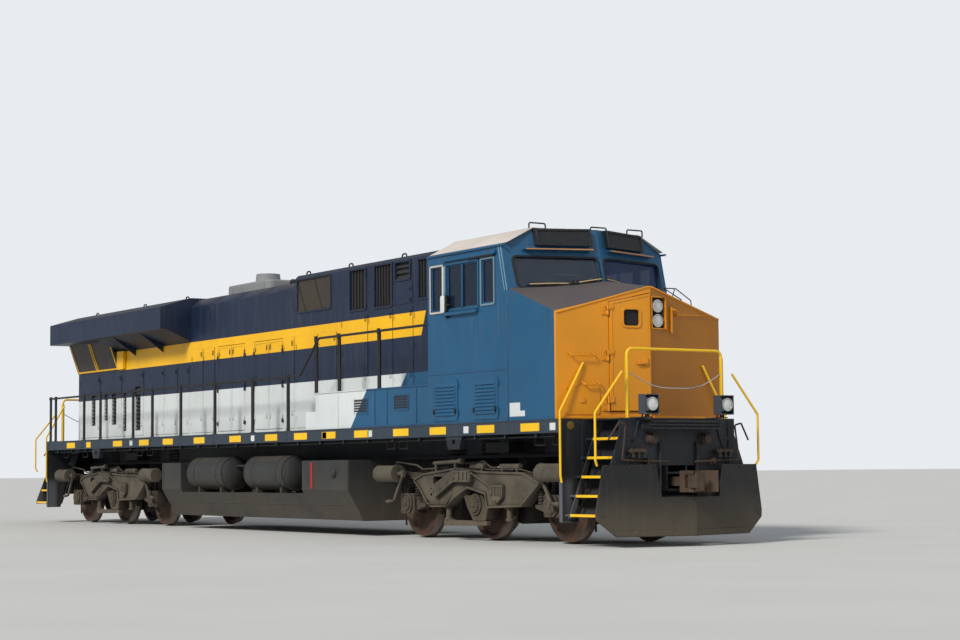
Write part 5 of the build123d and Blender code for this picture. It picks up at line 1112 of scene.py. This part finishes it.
def truck_details(name, middle):
    """Bolts, unions, pins and thin pipes of one truck."""
    iron, pipes = Piece(), Piece()
    body = f"{name}_truck"
    # Pipes as x, side y, z and as x, z
    upper = (
        (0.30, 1.12, 1.10), (0.50, 1.13, 1.09), (1.25, 1.12, 1.09), (1.60, 1.06, 1.02), (1.95, 1.05, 1.12),
    )
    lower = ((-1.35, 0.64), (-1.30, 0.56), (-0.75, 0.56), (-0.60, 0.70))
    # Bolts on the stiffeners, the spring housing, the slotted box and the pedestals: x, z, side y, radius
    plates = (
        (-1.05, 0.76, 1.205, 0.015), (-0.86, 0.80, 1.205, 0.015), (-0.66, 0.90, 1.205, 0.015),
        (-0.46, 0.96, 1.205, 0.015), (-0.44, 1.05, 1.205, 0.015), (0.55, 0.70, 1.19, 0.013),
        (0.68, 0.62, 1.19, 0.013), (0.81, 0.69, 1.19, 0.013), (-0.33, 0.925, 1.215, 0.010),
        (-0.33, 1.06, 1.215, 0.010), (-0.03, 0.925, 1.215, 0.010), (-0.03, 1.06, 1.215, 0.010),
        (-0.875, 0.53, 1.11, 0.011), (-0.805, 0.53, 1.11, 0.011), (0.815, 0.53, 1.11, 0.011),
        (0.885, 0.53, 1.11, 0.011),
    )

    def at(x, y, z):
        return (middle + x, y, z)

    for side in SIDES:
        out = (0, side, 0)
        for axle in (-1, 0, 1):
            x = axle * AXLE_PITCH
            # Bolts on the bearing's cover and the corners of the box
            for k in range(8):
                turn = math.tau * (k + 0.5) / 8
                spot = at(x + 0.095 * math.cos(turn), side * 1.146, AXLE_Z + 0.095 * math.sin(turn))
                iron.bolts([spot], out, 0.010, 0.01)
            if axle:
                for dx, z in ((-0.18, 0.43), (0.18, 0.43), (-0.18, 0.69), (0.18, 0.69)):
                    iron.bolts([at(x + dx, side * 1.10, z)], out, 0.014)
        for x, z, y, radius in plates:
            iron.bolts([at(x, side * y, z)], out, radius)
        # Thin air pipes along the frame with their unions
        pipes.tube([at(x, side * y, z) for x, y, z in upper], 0.010, 0.06)
        pipes.tube([at(x, side * 1.165, z) for x, z in lower], 0.009, 0.05)
        for x, z in ((0.55, 1.09), (1.05, 1.09), (-1.0, 0.56)):
            iron.rod(at(x - 0.02, side * 1.13, z), at(x + 0.02, side * 1.13, z), 0.017, 6)
        # Pins of the brake gear
        for end in (-1, 1):
            for x, z in ((1.873, 1.045), (2.19, 0.60)):
                iron.lathe(at(end * x, side * 1.262, z), out, [(0, 0.024), (0.02, 0.024), (0.03, 0.016)], 10)
            for x in (2.16, 2.44):
                iron.bolts([at(end * x, side * 1.16, 1.06)], out, 0.012)
    iron.done(f"{name}_truck_bolts", "iron", slot="truck_iron", body=body)
    pipes.done(f"{name}_truck_pipes", "box_iron", slot="truck_iron", body=body)


def blower_ducts():
    """Pleated air ducts from the underframe down towards the motors."""
    ducts = Piece()
    for middle in TRUCKS.values():
        for x in (-1.55, -0.62, 0.62, 1.55):
            rings = []
            for index in range(15):
                half = 0.30 if index % 2 else 0.275
                outline = rounded((middle + x - half, -half - 0.12), (middle + x + half, half + 0.12), 0.08)
                rings.append(placed(outline, 2, 1.56 - index * 0.03))
            ducts.loft(rings)
    ducts.done("blower_ducts", "rubber")


def draft_box_plates():
    """Plates that close the draft box above the coupler pocket, and the tie of the step wells below it."""
    plates = Piece()
    plate_x = (9.804, 9.836)
    for low_y, high_y in ((-0.38, -0.192), (-0.158, 0.158), (0.192, 0.38)):
        plates.prism(rounded((low_y, 1.018), (high_y, 1.30), 0.02), 0, plate_x)
    plates.prism(rounded((-1.09, 0.64), (1.09, 0.785), 0.02), 0, plate_x)
    plates.turned().done("draft_box_plates", "slate")


def under_sill_brackets():
    """Bent brackets that the underframe carries beside the trucks."""
    pipes = Piece()
    for side in SIDES:
        y = side * 1.3
        for x in (9.35, 8.9, 5.1, 4.7, -4.8, -5.3, -8.2, -9.3):
            pipes.tube([(x, y, 1.62), (x, y, 1.44), (x + 0.25, y, 1.44), (x + 0.25, y, 1.62)], 0.012, 0.03)
    pipes.done("under_sill_brackets", "slate")


for truck_name, truck_middle in TRUCKS.items():
    truck_details(truck_name, truck_middle)
blower_ducts()
draft_box_plates()
under_sill_brackets()


# Studio


def sun(name, toward, strength, spread, colour=(1, 1, 1)):
    light = bpy.data.lights.new(name, "SUN")
    light.energy = strength
    light.angle = math.radians(spread)
    light.color = colour
    lamp = bpy.data.objects.new(name, light)
    lamp.rotation_mode = "QUATERNION"
    lamp.rotation_quaternion = Vector(toward).to_track_quat("Z", "Y")
    bpy.context.scene.collection.objects.link(lamp)


def studio():
    """Pale floor, soft key light from the right side and even fill."""
    floor = bpy.data.meshes.new("floor")
    reach = 400
    corners = [(-reach, -reach, 0), (reach, -reach, 0), (reach, reach, 0), (-reach, reach, 0)]
    floor.from_pydata(corners, [], [(0, 1, 2, 3)])
    ground = bpy.data.objects.new("floor", floor)
    finish = Finish("floor_grey", (214, 213, 210), 0.9)
    finish.layer((206, 205, 203), finish.noise(0.4, 0.3, 0.7), strength=0.5)
    floor.materials.append(finish.made())
    bpy.context.scene.collection.objects.link(ground)
    sun("key", (0.27, -0.80, 0.62), 2.7, 12, (1.0, 0.97, 0.92))
    sun("fill", (0.9, 0.5, 0.45), 0.35, 60)


def background():
    """Bluish light all round, seen by the camera as a pale wall."""
    world = bpy.data.worlds.new("studio")
    bpy.context.scene.world = world
    world.use_nodes = True
    tree = world.node_tree
    lit = tree.nodes["Background"]
    lit.inputs["Color"].default_value = (0.86, 0.93, 1.0, 1)
    lit.inputs["Strength"].default_value = 0.36
    seen = tree.nodes.new("ShaderNodeBackground")
    wall = (232, 236, 240)
    seen.inputs["Color"].default_value = screen_colour(wall)
    rays = tree.nodes.new("ShaderNodeLightPath")
    either = tree.nodes.new("ShaderNodeMath")
    either.operation = "MAXIMUM"
    choose = tree.nodes.new("ShaderNodeMixShader")
    links = (
        (rays.outputs["Is Camera Ray"], either.inputs[0]),
        (rays.outputs["Is Transmission Ray"], either.inputs[1]),
        (either.outputs[0], choose.inputs[0]),
        (lit.outputs[0], choose.inputs[1]),
        (seen.outputs[0], choose.inputs[2]),
        (choose.outputs[0], tree.nodes["World Output"].inputs["Surface"]),
    )
    for start, end in links:
        tree.links.new(start, end)
    bpy.context.scene.view_settings.view_transform = "Standard"


def aim_camera():
    """Camera that was solved from the photograph."""
    place = Vector((32.2204, -17.6833, 1.1000))
    yaw, pitch, roll = math.radians(146.4889), math.radians(4.3516), math.radians(-0.5148)
    focal_pixels, image_width, sensor = 1960.21, 960, 36
    ahead = Vector((math.cos(pitch) * math.cos(yaw), math.cos(pitch) * math.sin(yaw), math.sin(pitch)))
    level = ahead.cross(Vector(UP)).normalized()
    upright = level.cross(ahead)
    right = level * math.cos(roll) + upright * math.sin(roll)
    up = upright * math.cos(roll) - level * math.sin(roll)
    lens = bpy.data.cameras.new("camera")
    lens.sensor_width = sensor
    lens.lens = sensor * focal_pixels / image_width
    lens.clip_end = 1000
    camera = bpy.data.objects.new("camera", lens)
    turn = Matrix((right, up, -ahead)).transposed()
    camera.matrix_world = Matrix.Translation(place) @ turn.to_4x4()
    bpy.context.scene.collection.objects.link(camera)
    bpy.context.scene.camera = camera


studio()
background()
aim_camera()
